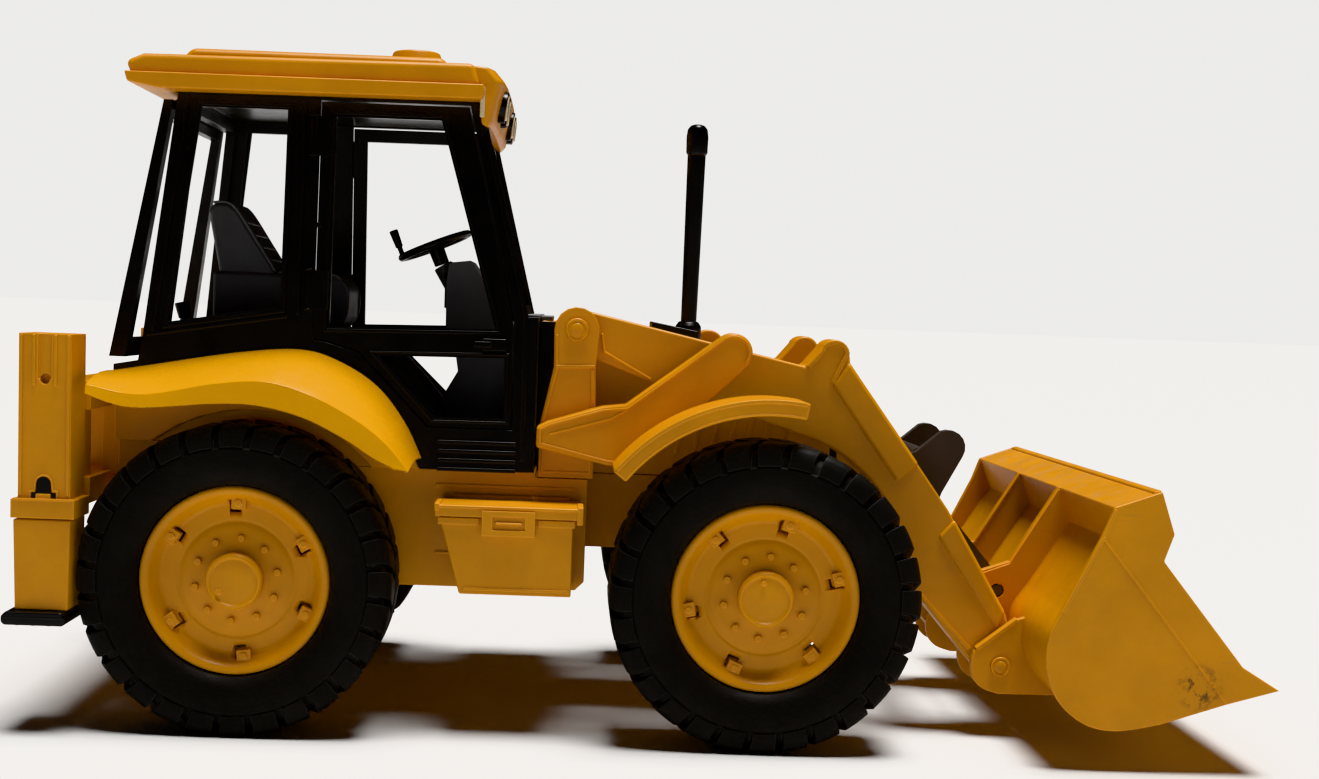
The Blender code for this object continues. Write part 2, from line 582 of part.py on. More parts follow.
# ---------------------------------------------------------------- loader
def build_loader_arms():
    """Two cranked plates joined by two cross tubes, with eyes at both ends."""
    outline = arc(LIFT, 7, 245, 78, 9)
    outline += [(99.3, 124.9), (104.6, 131.2)] + arc((109.2, 129), 5.2, 140, 15, 4)
    outline += [(114.6, 126.7), (150.7, 77.7), (172.4, 42.4)] + arc(DIG, 7.2, 25, -160, 8)
    outline += [(141.5, 48)] + arc((HALF_BASE, AXLE_Z), 52.8, 5, 76, 6) + [(47.3, 117.6)]
    right = plate(outline, -ARM_OUT, -ARM_IN)
    left = mirrored(right)
    tubes = [rod((CRANK[0], -30, CRANK[1]), (CRANK[0], 30, CRANK[1]), TUBE_R, 16),
             rod((119, -30, 110), (119, 30, 110), 3.6, 16)]
    arms = unite(right, left, *tubes)
    bores = [rod((x, -60, z), (x, 60, z), PIN_R + GAP, 16) for x, z in (LIFT, DIG)]
    piece("loader_arms", cut(arms, *bores), YELLOW, (LIFT[0], 0, LIFT[1]))


def build_bucket():
    """Side plates, a skin set in between them, two ribs that stand behind it and two ears."""
    front = [(237.1, 35.5), (209.7, 68.6), (212.5, 77.3), (207.8, 90.7)]
    edge = [(232.6, 23.3), (249.3, 28.3)]
    skin_front = [(232.5, 23.6), (248.9, 28.4), (237, 35.4), (209.6, 68.9), (212.2, 77.3),
                  (207.7, 90.4)]
    side_back = [(192.9, 85.3), (189.7, 76.2), (177.5, 50.4), (174.5, 42.8), (174.4, 33.3),
                 (178.1, 23.6), (183.6, 17.6), (190.6, 14.3), (200, 13.7), (212.3, 16.3)]
    skin_back = [(193.1, 85.1), (197.4, 73.4), (183.2, 50.4), (177.6, 42.5), (177.3, 34.5),
                 (180, 26.6), (184.6, 20.2), (191.2, 15.9), (200, 14.3), (212.3, 16.7)]
    inside = [(195.4, 83.4), (199.8, 72.7), (185.2, 49.3), (179.9, 41.9), (179.6, 35.2),
              (182.1, 27.7), (186.2, 22), (192.1, 18.1), (200.2, 16.5), (211.6, 18.8),
              (231.8, 25.5), (245, 29.3), (262, 40), (218, 66), (206, 71), (203.4, 84.6)]
    width = BUCKET_HALF - BUCKET_WALL
    skin = cut(plate(skin_back + skin_front, -width - 1, width + 1),
               plate(inside, -width - 3, width + 3))
    sides = [plate(side_back + edge + front, side * width, side * BUCKET_HALF)
             for side in (-1, 1)]
    wall = [(192, 17), (185.4, 21.1), (181, 27.1), (178.4, 34.8), (178.6, 42.4)]
    foot = [(161.5, 30), (160.6, 26.5), (161.2, 20.8), (164.4, 17), (170.4, 15.2), (189, 15.3)]
    rib = [(192.8, 84.6), (177, 57.8), (167.6, 54.2), (165.3, 50.5)] + foot + wall
    rib += [(184.2, 50), (198.4, 73.2), (194.2, 84.4)]
    ear = [(175.2, 41)] + foot + wall
    plates = []
    for side in (-1, 1):
        plates.append(plate(rib, side * 25.7, side * 28.5))
        plates.append(plate(ear, side * (ARM_OUT + GAP), side * 48))
    body = unite(skin, *sides, *plates)
    bores = [rod((DIG[0], -60, DIG[1]), (DIG[0], 60, DIG[1]), PIN_R + GAP, 16),
             rod((LINK_END[0], -30, LINK_END[1]), (LINK_END[0], 30, LINK_END[1]),
                 SMALL_PIN_R + GAP, 12)]
    piece("bucket", cut(body, *bores), YELLOW, (DIG[0], 0, DIG[1]))
    pin = rod((DIG[0], -49.2, DIG[1]), (DIG[0], -25.2, DIG[1]), PIN_R)
    pair("bucket_pin", pin, YELLOW)
    tilt = rod((LINK_END[0], -28.5, LINK_END[1]), (LINK_END[0], 28.5, LINK_END[1]), SMALL_PIN_R, 12)
    piece("tilt_pin", tilt, BROWN_GREY, (LINK_END[0], 0, LINK_END[1]))


def build_linkage():
    """Crank on the cross tube and link to the bucket: a parallelogram with the arm."""
    outline = arc(CRANK_NOSE, 6.2, -30, 115, 7) + [(143.4, 95.4)]
    outline += arc((139.2, 88.5), 5.2, 120, 190, 3) + arc(CRANK, 5.8, 180, 350, 7)
    outline += [(153.4, 81.4)]
    crank = unite(plate(outline, -21, -17), plate(outline, 17, 21),
                  rod((145.5, -18, 93), (145.5, 18, 93), 3.8, 16))
    bores = [rod((CRANK[0], -40, CRANK[1]), (CRANK[0], 40, CRANK[1]), TUBE_R + GAP, 16),
             rod((LINK_TOP[0], -40, LINK_TOP[1]), (LINK_TOP[0], 40, LINK_TOP[1]),
                 SMALL_PIN_R + GAP, 12)]
    piece("tilt_crank", cut(crank, *bores), BROWN_GREY, (CRANK[0], 0, CRANK[1]))
    turn = math.degrees(math.atan2(-LINK_VECTOR[1], -LINK_VECTOR[0]))
    bar = arc(LINK_END, 3.9, turn - 90, turn + 90, 6) + arc(LINK_TOP, 3.9, turn + 90, turn + 270, 6)
    middle = ((LINK_TOP[0] + LINK_END[0]) / 2, (LINK_TOP[1] + LINK_END[1]) / 2)
    link = unite(plate(bar, -25.2, -21.4), plate(bar, 21.4, 25.2),
                 rod((middle[0], -22.7, middle[1]), (middle[0], 22.7, middle[1]), 2.3, 10))
    eyes = [rod((LINK_TOP[0], -40, LINK_TOP[1]), (LINK_TOP[0], 40, LINK_TOP[1]),
                SMALL_PIN_R + GAP, 12),
            rod((LINK_END[0], -40, LINK_END[1]), (LINK_END[0], 40, LINK_END[1]),
                SMALL_PIN_R + 0.7, 12)]
    piece("tilt_link", cut(link, *eyes), BROWN_GREY, (LINK_TOP[0], 0, LINK_TOP[1]))
    pin = rod((LINK_TOP[0], -25.2, LINK_TOP[1]), (LINK_TOP[0], 25.2, LINK_TOP[1]), SMALL_PIN_R, 12)
    piece("link_pin", pin, BROWN_GREY, (LINK_TOP[0], 0, LINK_TOP[1]))


build_chassis()
build_rear_body()
build_rear_fenders()
build_rear_frame()
build_stabilisers()
build_cab_frame()
build_doors()
build_roof()
build_rear_window()
build_cab_interior()
build_front()
build_front_fenders()
build_toolboxes()
build_axles()
build_wheels()
build_loader_arms()
build_bucket()
build_linkage()
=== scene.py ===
import json
import math

import bmesh
import bpy
from mathutils import Matrix, Vector

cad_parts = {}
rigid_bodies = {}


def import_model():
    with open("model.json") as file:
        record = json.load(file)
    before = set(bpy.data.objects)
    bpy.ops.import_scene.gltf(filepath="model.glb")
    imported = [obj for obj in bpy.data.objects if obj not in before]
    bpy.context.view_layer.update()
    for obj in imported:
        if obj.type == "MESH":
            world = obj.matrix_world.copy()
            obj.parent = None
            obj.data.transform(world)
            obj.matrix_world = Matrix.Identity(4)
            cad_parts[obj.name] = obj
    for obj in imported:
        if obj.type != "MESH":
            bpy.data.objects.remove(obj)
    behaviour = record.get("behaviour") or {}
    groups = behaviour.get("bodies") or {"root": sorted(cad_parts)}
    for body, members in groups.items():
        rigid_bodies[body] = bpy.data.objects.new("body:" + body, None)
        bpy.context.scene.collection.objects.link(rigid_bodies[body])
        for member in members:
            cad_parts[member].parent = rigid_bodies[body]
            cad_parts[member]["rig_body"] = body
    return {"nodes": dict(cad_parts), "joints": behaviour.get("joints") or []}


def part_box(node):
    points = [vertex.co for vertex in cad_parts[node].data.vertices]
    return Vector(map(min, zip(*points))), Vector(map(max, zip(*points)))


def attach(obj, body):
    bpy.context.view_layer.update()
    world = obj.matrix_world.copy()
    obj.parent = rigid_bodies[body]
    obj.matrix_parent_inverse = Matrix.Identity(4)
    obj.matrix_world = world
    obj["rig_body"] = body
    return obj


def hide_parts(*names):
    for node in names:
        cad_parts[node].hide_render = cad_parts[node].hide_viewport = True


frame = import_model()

# Toy backhoe loader.  X points forward, Y to the vehicle's left, Z up; the origin is on the
# ground midway between the axles.  Sizes are in millimetres unless they say otherwise.
MM = 0.001
NODES = frame["nodes"]
JOINTS = {joint["name"]: joint for joint in frame["joints"]}
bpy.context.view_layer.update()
RIGHT, LEFT = -1, 1


def pivot(name):
    """A joint's position in millimetres."""
    return [value / MM for value in JOINTS[name]["pos_m"]]


def extent(node):
    """A node's lowest and highest corner in millimetres."""
    low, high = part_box(node)
    return [v / MM for v in low], [v / MM for v in high]


LIFT_X, _, LIFT_Z = pivot("loader_lift")
DIG_X, _, DIG_Z = pivot("bucket_tilt")
CRANK_X, _, CRANK_Z = pivot("crank_turn")
LINK_X, _, LINK_Z = pivot("link_turn")
REAR_X, WHEEL_Y, AXLE_Z = pivot("rear_wheel_spin_left")
AXLE_X = -REAR_X
TYRE_R = AXLE_Z
TYRE_HALF = (extent("rear_tyre_left")[1][1] - extent("rear_tyre_left")[0][1]) / 2
RIM_R = (extent("rear_rim_left")[1][0] - extent("rear_rim_left")[0][0]) / 2
RIM_FACE = extent("rear_rim_left")[1][1] - WHEEL_Y
ARM_OUT = extent("loader_arms")[1][1]
BUCKET_HALF = extent("bucket")[1][1]


# ------------------------------------------------------------------ materials
YELLOW = (0.60, 0.245, 0.003)
DUST = (0.34, 0.31, 0.26)
GRIME = (0.035, 0.022, 0.010)
RUST = (0.16, 0.075, 0.03)
EDGE_HIGHLIGHT_WIDTH = 0.6                # width of the painted highlight band along an edge
SCUFF_PLACE = (223.5, -BUCKET_HALF, 28.5)


def new_material(name):
    """A material, its node tree and its main shader."""
    material = bpy.data.materials.new(name)
    material.use_nodes = True
    return material, material.node_tree, material.node_tree.nodes["Principled BSDF"]


def node(tree, kind, **values):
    """Add a shader node and set its inputs and properties by name."""
    made = tree.nodes.new(kind)
    for key, value in values.items():
        if key in made.inputs:
            made.inputs[key].default_value = value
        else:
            setattr(made, key, value)
    return made


def noise(tree, coords, scale, detail=2.0, roughness=0.5, stretch=None, turn=(0, 0, 0)):
    """Noise in object space, stretched along an axis for scratches and streaks."""
    if stretch:
        mapping = node(tree, "ShaderNodeMapping", Scale=stretch, Rotation=turn)
        tree.links.new(coords, mapping.inputs["Vector"])
        coords = mapping.outputs["Vector"]
    made = node(tree, "ShaderNodeTexNoise", Scale=scale, Detail=detail, Roughness=roughness)
    tree.links.new(coords, made.inputs["Vector"])
    return made.outputs["Fac"]


def remap(tree, value, low, high, to_low=0.0, to_high=1.0):
    """Map a value's range onto another one, held at its ends."""
    ends = {"From Min": low, "From Max": high, "To Min": to_low, "To Max": to_high}
    made = node(tree, "ShaderNodeMapRange", **ends)
    tree.links.new(value, made.inputs["Value"])
    return made.outputs["Result"]


def mix(tree, factor, first, second):
    """Blend two colours; each is a colour or a socket."""
    made = node(tree, "ShaderNodeMix", data_type="RGBA")
    tree.links.new(factor, made.inputs["Factor"])
    for socket, value in ((made.inputs[6], first), (made.inputs[7], second)):
        if isinstance(value, tuple):
            socket.default_value = (*value, 1)
        else:
            tree.links.new(value, socket)
    return made.outputs[2]


def multiply(tree, first, second):
    """Multiply two values; each is a number or a socket."""
    made = node(tree, "ShaderNodeMath", operation="MULTIPLY")
    for socket, value in zip(made.inputs, (first, second)):
        if isinstance(value, float):
            socket.default_value = value
        else:
            tree.links.new(value, socket)
    return made.outputs["Value"]


def shade(colour, factor, lift=0.0):
    """A colour made lighter or darker."""
    return tuple(min(1.0, channel * factor + lift) for channel in colour)


def edge_mask(tree, geometry):
    """1 along edges and 0 on flat faces; it places the painted highlight that makes edges paler."""
    rounded = node(tree, "ShaderNodeBevel", samples=4, Radius=EDGE_HIGHLIGHT_WIDTH * MM)
    match = node(tree, "ShaderNodeVectorMath", operation="DOT_PRODUCT")
    tree.links.new(rounded.outputs["Normal"], match.inputs[0])
    tree.links.new(geometry.outputs["Normal"], match.inputs[1])
    return remap(tree, match.outputs["Value"], 0.985, 0.86)


def plastic(name, colour, roughness, mottle=0.1, grain=0.1, coat=0.0, dust=0.15, scratch=0.25,
            scuff=None, gloss=0.5, edge=0.0):
    """Moulded plastic: cloudy colour, fine grain, hairline scratches, dust on top faces and, when
    asked, a painted highlight along edges.
    """
    material, tree, shader = new_material(name)
    join = tree.links.new
    coords = node(tree, "ShaderNodeTexCoord").outputs["Object"]
    cloud = remap(tree, noise(tree, coords, 42, 5, 0.62), 0.3, 0.7)
    base = mix(tree, cloud, shade(colour, 1 - mottle), shade(colour, 1 + mottle))
    hairs = noise(tree, coords, 60, 3, 0.6, (1, 1, 14), (0.4, 0.7, 0.2))
    hairs = multiply(tree, remap(tree, hairs, 0.66, 0.7), scratch)
    base = mix(tree, hairs, base, shade(colour, 0.72, 0.05))
    geometry = node(tree, "ShaderNodeNewGeometry")
    split = node(tree, "ShaderNodeSeparateXYZ")
    join(geometry.outputs["Normal"], split.inputs["Vector"])
    upward = remap(tree, split.outputs["Z"], 0.55, 1.0)
    patchy = remap(tree, noise(tree, coords, 130, 6, 0.7), 0.38, 0.72)
    settled = multiply(tree, multiply(tree, upward, patchy), dust)
    base = mix(tree, settled, base, DUST)
    # Painted highlight: a paler band along the edges stands for the light they catch.
    if edge:
        painted_edge_light = multiply(tree, edge_mask(tree, geometry), edge)
        base = mix(tree, painted_edge_light, base, shade(colour, 1.5, 0.07))
    if scuff:
        base = mix(tree, scuff(tree, coords), base, GRIME)
    join(base, shader.inputs["Base Color"])
    wear = noise(tree, coords, 95, 4, 0.6)
    rough = remap(tree, wear, 0.3, 0.7, max(0.05, roughness - 0.07), min(1.0, roughness + 0.09))
    join(rough, shader.inputs["Roughness"])
    fine = noise(tree, coords, 1500, 2, 0.5)
    wavy = noise(tree, coords, 70, 2, 0.5)
    ripple = node(tree, "ShaderNodeBump", Strength=0.12, Distance=0.0012)
    join(wavy, ripple.inputs["Height"])
    bump = node(tree, "ShaderNodeBump", Strength=grain, Distance=0.00025)
    join(fine, bump.inputs["Height"])
    join(ripple.outputs["Normal"], bump.inputs["Normal"])
    join(bump.outputs["Normal"], shader.inputs["Normal"])
    for key, value in (("Specular IOR Level", gloss), ("Coat Weight", coat),
                       ("Coat Roughness", 0.18)):
        shader.inputs[key].default_value = value
    return material


def metal(name, colour, roughness):
    """Drawn steel wire: streaks along Y and small rust freckles."""
    material, tree, shader = new_material(name)
    coords = node(tree, "ShaderNodeTexCoord").outputs["Object"]
    streaks = noise(tree, coords, 400, 4, 0.6, (1, 0.04, 1))
    rust = remap(tree, noise(tree, coords, 260, 6, 0.7), 0.62, 0.7)
    base = mix(tree, streaks, shade(colour, 0.75), shade(colour, 1.15))
    tree.links.new(mix(tree, rust, base, RUST), shader.inputs["Base Color"])
    tree.links.new(remap(tree, streaks, 0.2, 0.8, roughness - 0.1, roughness + 0.15),
                   shader.inputs["Roughness"])
    shader.inputs["Metallic"].default_value = 1.0
    return material


def bucket_scuff(tree, coords):
    """Dark scrapes low on the bucket's right side, broken up by noise."""
    split = node(tree, "ShaderNodeSeparateXYZ")
    tree.links.new(coords, split.inputs["Vector"])
    spot = node(tree, "ShaderNodeVectorMath", operation="DISTANCE")
    spot.inputs[1].default_value = Vector(SCUFF_PLACE) * MM
    tree.links.new(coords, spot.inputs[0])
    near = remap(tree, spot.outputs["Value"], 0.0085, 0.003)
    side = remap(tree, split.outputs["Y"], -0.0893, -0.0897)
    torn = remap(tree, noise(tree, coords, 210, 8, 0.75), 0.5, 0.56)
    return multiply(tree, multiply(tree, near, side), multiply(tree, torn, 0.85))


LOOKS = {
    "yellow": plastic("satin_yellow_plastic", YELLOW, 0.42, dust=0.06, scratch=0.12, edge=0.75),
    "bucket": plastic("bucket_yellow_plastic", YELLOW, 0.46, dust=0.3, scratch=0.4,
                      scuff=bucket_scuff, edge=0.8),
    "gloss": plastic("glossy_yellow_plastic", (0.72, 0.33, 0.004), 0.26, mottle=0.05,
                     grain=0.03, coat=0.6, dust=0.04, scratch=0.15),
    "black": plastic("satin_black_plastic", (0.0048, 0.0048, 0.0052), 0.34, mottle=0.25,
                     grain=0.06, dust=0.02, scratch=0.1, gloss=0.4, edge=0.15),
    "rubber": plastic("tyre_rubber", (0.0085, 0.0082, 0.0078), 0.6, mottle=0.3, grain=0.3,
                      dust=0.02, scratch=0.06, gloss=0.3, edge=0.75),
    "grey": plastic("dark_grey_plastic", (0.125, 0.127, 0.135), 0.5, mottle=0.12, grain=0.2,
                    dust=0.05),
    "piping": plastic("light_piping", (0.19, 0.19, 0.2), 0.5, mottle=0.1, dust=0.02),
    "brown": plastic("warm_grey_plastic", (0.062, 0.052, 0.046), 0.42, mottle=0.15, dust=0.1),
    "lens": plastic("cream_lamp_lens", (0.66, 0.55, 0.36), 0.25, mottle=0.05, coat=0.5),
    "steel": metal("drawn_steel", (0.42, 0.41, 0.39), 0.38),
}


# ------------------------------------------------------------------ mesh tools
# Those that take a shape add to that bmesh, in millimetres, and hand it on.
def prism(shape, outline, y0, y1):
    """Add a flat outline of (x, z) points, extruded from y0 to y1."""
    ends = [[shape.verts.new((x, y, z)) for x, z in outline] for y in (y0, y1)]
    shape.faces.new(ends[0])
    shape.faces.new(ends[1][::-1])
    for i in range(len(outline)):
        j = (i + 1) % len(outline)
        shape.faces.new((ends[0][i], ends[1][i], ends[1][j], ends[0][j]))
    return shape


def brick(shape, low, high):
    """Add a box between two corners."""
    corners = [(low[0], low[2]), (high[0], low[2]), (high[0], high[2]), (low[0], high[2])]
    return prism(shape, corners, low[1], high[1])


def tube(shape, start, end, radius, sides=24, end_radius=None):
    """Add a cylinder or cone between two points."""
    start, end = Vector(start), Vector(end)
    along = end - start
    last = radius if end_radius is None else end_radius
    made = bmesh.ops.create_cone(shape, cap_ends=True, segments=sides, radius1=radius,
                                 radius2=last, depth=along.length)
    place = Matrix.Translation((start + end) / 2)
    turn = along.to_track_quat("Z", "Y").to_matrix().to_4x4()
    bmesh.ops.transform(shape, verts=made["verts"], matrix=place @ turn)
    return shape


def rod(shape, centre, y0, y1, radius, sides=32, end_radius=None):
    """Add a cylinder or cone that lies across the vehicle at a point (x, z)."""
    x, z = centre
    return tube(shape, (x, y0, z), (x, y1, z), radius, sides, end_radius)


def lathe(shape, profile, steps, closed=True):
    """Add a profile of (radius, y) turned about the Y axis, joined to itself or capped."""
    rings = [[shape.verts.new((x, y, z)) for x, z in circle(radius, steps)]
             for radius, y in profile]
    pairs = list(zip(rings, rings[1:]))
    if closed:
        pairs.append((rings[-1], rings[0]))
    for inner, outer in pairs:
        for i in range(steps):
            j = (i + 1) % steps
            shape.faces.new((inner[i], inner[j], outer[j], outer[i]))
    if not closed:
        shape.faces.new(rings[0])
        shape.faces.new(rings[-1][::-1])
    return shape


def loft(shape, rings, ring_shaped=False):
    """Join closed rings of 3-D points, and close both ends or join the last to the first."""
    loops = [[shape.verts.new(point) for point in ring] for ring in rings]
    pairs = list(zip(loops, loops[1:]))
    if ring_shaped:
        pairs.append((loops[-1], loops[0]))
    else:
        shape.faces.new(loops[0])
        shape.faces.new(loops[-1][::-1])
    for one, two in pairs:
        for i in range(len(one)):
            j = (i + 1) % len(one)
            shape.faces.new((one[i], one[j], two[j], two[i]))
    return shape


def ridge(shape, points, width, y0, y1):
    """Add a raised strip of even width along a line of (x, z) points, open or closed."""
    ring_shaped = points[0] == points[-1]
    line = [Vector(point) for point in (points[:-1] if ring_shaped else points)]
    rows = []
    for i, point in enumerate(line):
        before = line[i - 1] if i or ring_shaped else point
        after = line[(i + 1) % len(line)] if i < len(line) - 1 or ring_shaped else point
        ways = [way.normalized() for way in (point - before, after - point) if way.length > 0]
        along = sum(ways, Vector((0, 0))).normalized()
        reach = width / 2 / max(0.6, along.dot(ways[0]))
        across = Vector((-along.y, along.x)) * reach
        left, right = point + across, point - across
        rows.append([(left.x, y0, left.y), (right.x, y0, right.y), (right.x, y1, right.y),
                     (left.x, y1, left.y)])
    return loft(shape, rows, ring_shaped)


def polar(radius, degrees):
    """The point at a distance and an angle from the origin."""
    return radius * math.cos(math.radians(degrees)), radius * math.sin(math.radians(degrees))


def circle(radius, sides):
    """Points of a circle about the origin."""
    return [polar(radius, 360 * i / sides) for i in range(sides)]


def arc(centre, radius, start, end, count):
    """Points of an arc between two angles in degrees."""
    points = [polar(radius, start + (end - start) * i / count) for i in range(count + 1)]
    return [(centre[0] + x, centre[1] + z) for x, z in points]


def smooth(points, per_span):
    """Catmull-Rom curve through points."""
    padded = [points[0]] + list(points) + [points[-1]]
    result = []
    for a, b, c, d in zip(padded, padded[1:], padded[2:], padded[3:]):
        for step in range(per_span):
            t = step / per_span
            result.append(tuple(
                0.5 * (2 * q + (r - p) * t + (2 * p - 5 * q + 4 * r - s) * t ** 2
                       + (3 * q - p - 3 * r + s) * t ** 3)
                for p, q, r, s in zip(a, b, c, d)))
    return result + [tuple(points[-1])]


def mirrored(shape):
    """A copy of a bmesh for the other side of the vehicle."""
    twin = shape.copy()
    bmesh.ops.scale(twin, verts=twin.verts, vec=(1, -1, 1))
    bmesh.ops.reverse_faces(twin, faces=twin.faces)
    return twin


def merge(shape, *others):
    """Move the geometry of other bmeshes into one."""
    for other in others:
        mesh = bpy.data.meshes.new("part")
        other.to_mesh(mesh)
        other.free()
        shape.from_mesh(mesh)
        bpy.data.meshes.remove(mesh)
    return shape


def new_mesh(name, shape):
    """Turn a bmesh in millimetres into a mesh in metres."""
    bmesh.ops.scale(shape, verts=shape.verts, vec=(MM, MM, MM))
    bmesh.ops.recalc_face_normals(shape, faces=shape.faces)
    mesh = bpy.data.meshes.new(name)
    shape.to_mesh(mesh)
    shape.free()
    return mesh


def new_object(name, data):
    """Put a mesh, a lamp or a camera in the scene."""
    made = bpy.data.objects.new(name, data)
    bpy.context.scene.collection.objects.link(made)
    return made


def finish_mesh(obj, bevel, segments, angle=32):
    """Round an object's sharp edges and shade it smooth."""
    obj.data.shade_smooth()
    if bevel:
        rounding = obj.modifiers.new("rounding", "BEVEL")
        rounding.width = bevel * MM
        rounding.segments = segments
        rounding.limit_method = "ANGLE"
        rounding.angle_limit = math.radians(angle)
    weighted = obj.modifiers.new("normals", "WEIGHTED_NORMAL")
    weighted.keep_sharp = True
    weighted.weight = 80


def add(name, shape, look, cad_name, replace=False, bevel=0.3, segments=2, angle=32):
    """Turn a bmesh in millimetres into a piece that rides with a CAD node, or replaces it."""
    obj = new_object(name, new_mesh(name, shape))
    obj.data.materials.append(LOOKS[look])
    finish_mesh(obj, bevel, segments, angle)
    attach(obj, NODES[cad_name]["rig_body"])
    if replace:
        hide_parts(cad_name)
    return obj


def add_pair(name, shape, look, cad_name, replace=False, **looks):
    """A piece on the right and its mirror image on the left; {} stands for the side."""
    forms = (("right", shape), ("left", mirrored(shape)))
    return [add(name.format(side), form, look, cad_name.format(side), replace, **looks)
            for side, form in forms]


def carve(obj, shape):
    """Cut a shape out of a piece, below its rounding."""
    cutter = new_object("cutter", new_mesh("cutter", shape))
    blank = new_object("blank", obj.data)
    hole = blank.modifiers.new("hole", "BOOLEAN")
    hole.operation = "DIFFERENCE"
    hole.solver = "EXACT"
    hole.object = cutter
    graph = bpy.context.evaluated_depsgraph_get()
    spent = (cutter.data, obj.data)
    obj.data = bpy.data.meshes.new_from_object(blank.evaluated_get(graph))
    obj.data.shade_smooth()
    for made in (cutter, blank):
        bpy.data.objects.remove(made, do_unlink=True)
    for mesh in spent:
        bpy.data.meshes.remove(mesh)


def soften(cad_name, look, bevel):
    """Stand-in for a CAD node with the same shape and rounded edges."""
    shape = bmesh.new()
    shape.from_mesh(NODES[cad_name].data)
    bmesh.ops.remove_doubles(shape, verts=shape.verts, dist=0.01 * MM)
    bmesh.ops.dissolve_limit(shape, angle_limit=math.radians(0.6), verts=shape.verts,
                             edges=shape.edges)
    bmesh.ops.scale(shape, verts=shape.verts, vec=(1 / MM, 1 / MM, 1 / MM))
    return add(cad_name + "_shell", shape, look, cad_name, replace=True, bevel=bevel, segments=3)


# ------------------------------------------------------------------ wheels
TREAD_BASE = TYRE_R - 2.6
SHOULDER_R = 43.2
LUGS = 28
LUG_PITCH = math.tau / LUGS
LUG_SPAN = 0.77                # share of a lug's pitch that is rubber
LUG_SLANT = 0.55               # a lug's lean from edge to middle, in pitches
LUG_SHIFT = 0.25               # each row's offset from the mould line, in pitches
TAB_R = 25.1
BOLT_R = 13.5
BOLTS = 10
RIM_FRONT = -RIM_FACE          # of a right-hand wheel, whose middle is at y = 0
REAR_TABS = (89, 30, -25, -83, 214, 147)
FRONT_TABS = (73, 132, 191, 249, -49, 16)


def tyre_shape():
    """Carcass with a rounded side wall, a bead, a fine mould line and two rows of lugs."""
    half = [(RIM_R - 1.4, 9.9), (RIM_R + 0.4, 10.6), (RIM_R + 0.4, 12.9), (RIM_R + 1.6, 14.1),
            (34, 15.5), (37.5, TYRE_HALF - 0.1), (41, TYRE_HALF - 0.2), (SHOULDER_R - 0.4, 16.0),
            (SHOULDER_R, 15.3), (45.6, 14.6), (47.2, 13.1), (TREAD_BASE, 10.8), (TREAD_BASE, 6)]
    shape = bmesh.new()
    lathe(shape, [(r, -y) for r, y in half] + [(r, y) for r, y in reversed(half)], 112)
    section = [(SHOULDER_R, 15.2), (SHOULDER_R + 0.1, 16.1), (46.2, 15.8), (48.6, 15.0),
               (50.0, 13.6), (TYRE_R, 11.8), (TYRE_R, 1.6), (TREAD_BASE - 0.4, 0.9),
               (TREAD_BASE - 0.6, 11), (45.4, 13.8)]
    for side in (RIGHT, LEFT):
        for i in range(LUGS):
            rings = []
            for step in range(4):
                ring = []
                for radius, y in section:
                    turns = i + side * LUG_SHIFT + LUG_SPAN * step / 3
                    a = LUG_PITCH * (turns - LUG_SLANT * (1 - y / TYRE_HALF))
                    ring.append((radius * math.cos(a), side * y, radius * math.sin(a)))
                rings.append(ring)
            loft(shape, rings)
    return shape


def rim_shape():
    """Turned rim: rounded flange, stepped well, dished disc and an open back."""
    profile = [(2.6, 3.4), (9.6, 3.4), (10.6, 4.0), (15.5, 4.4), (17.6, 4.7), (18.3, 5.4),
               (19.2, 5.4), (19.8, 5.0), (23.6, 5.4), (24.9, 5.2), (25.4, 4.2), (26.4, 3.2),
               (27.2, 1.5), (28.0, 0.6), (29.2, 0.0), (30.1, 0.3), (RIM_R, 1.2), (RIM_R, 1.8),
               (28.8, 2.4), (28.7, 22.8), (RIM_R, 23.4), (RIM_R, 25), (27.2, 25), (27.2, 8.8),
               (6, 8.8), (6, 14), (2.6, 14)]
    return lathe(bmesh.new(), [(r, RIM_FRONT + depth) for r, depth in profile], 96)


def swung(shape, degrees):
    """Turn a shape that stands above the hub to an angle round it."""
    turn = Matrix.Rotation(math.radians(90 - degrees), 4, "Y")
    bmesh.ops.transform(shape, verts=shape.verts, matrix=turn)
    return shape


def rim_details(tabs):
    """Bolts round the hub, and square lugs with a boss on each."""
    face = RIM_FRONT
    shape = bmesh.new()
    for i in range(BOLTS):
        rod(shape, polar(BOLT_R, 360 / BOLTS * i + 12), face + 2.7, face + 5, 1.15, 12, 1.25)
    for degrees in tabs:
        made = brick(bmesh.new(), (-2.3, face + 2.9, TAB_R - 2.2), (2.3, face + 6, TAB_R + 1.7))
        rod(made, (0, TAB_R - 0.2), face + 2.3, face + 4, 1.15, 14, 1.25)
        merge(shape, swung(made, degrees))
    return shape


def slot_cutter(degrees, mirror):
    """L-shaped slot beside and under a lug tab, right through the disc."""
    corner = [(2.2, 0.6), (3.1, 0.6), (3.1, -3.5), (-0.6, -3.5), (-0.6, -2.6), (2.2, -2.6)]
    outline = [(x * mirror, TAB_R + z) for x, z in corner]
    shape = prism(bmesh.new(), outline[::mirror], RIM_FRONT - 2, RIM_FRONT + 12)
    return swung(shape, degrees)


def cap_shape(gate):
    """Hub cap with a raised border, a slightly crowned middle and a gate spot at an angle."""
    profile = [(9.0, 3.2), (9.1, -0.6), (8.6, -1.4), (8.0, -1.6), (7.6, -1.2), (7.3, -0.9),
               (4.5, -1.1), (0.6, -1.2)]
    turned = [(r, RIM_FRONT + depth) for r, depth in reversed(profile)]
    shape = lathe(bmesh.new(), turned, 48, closed=False)
    return rod(shape, polar(5.6, gate), RIM_FRONT - 0.6, RIM_FRONT - 1.9, 1.0, 14, 0.8)


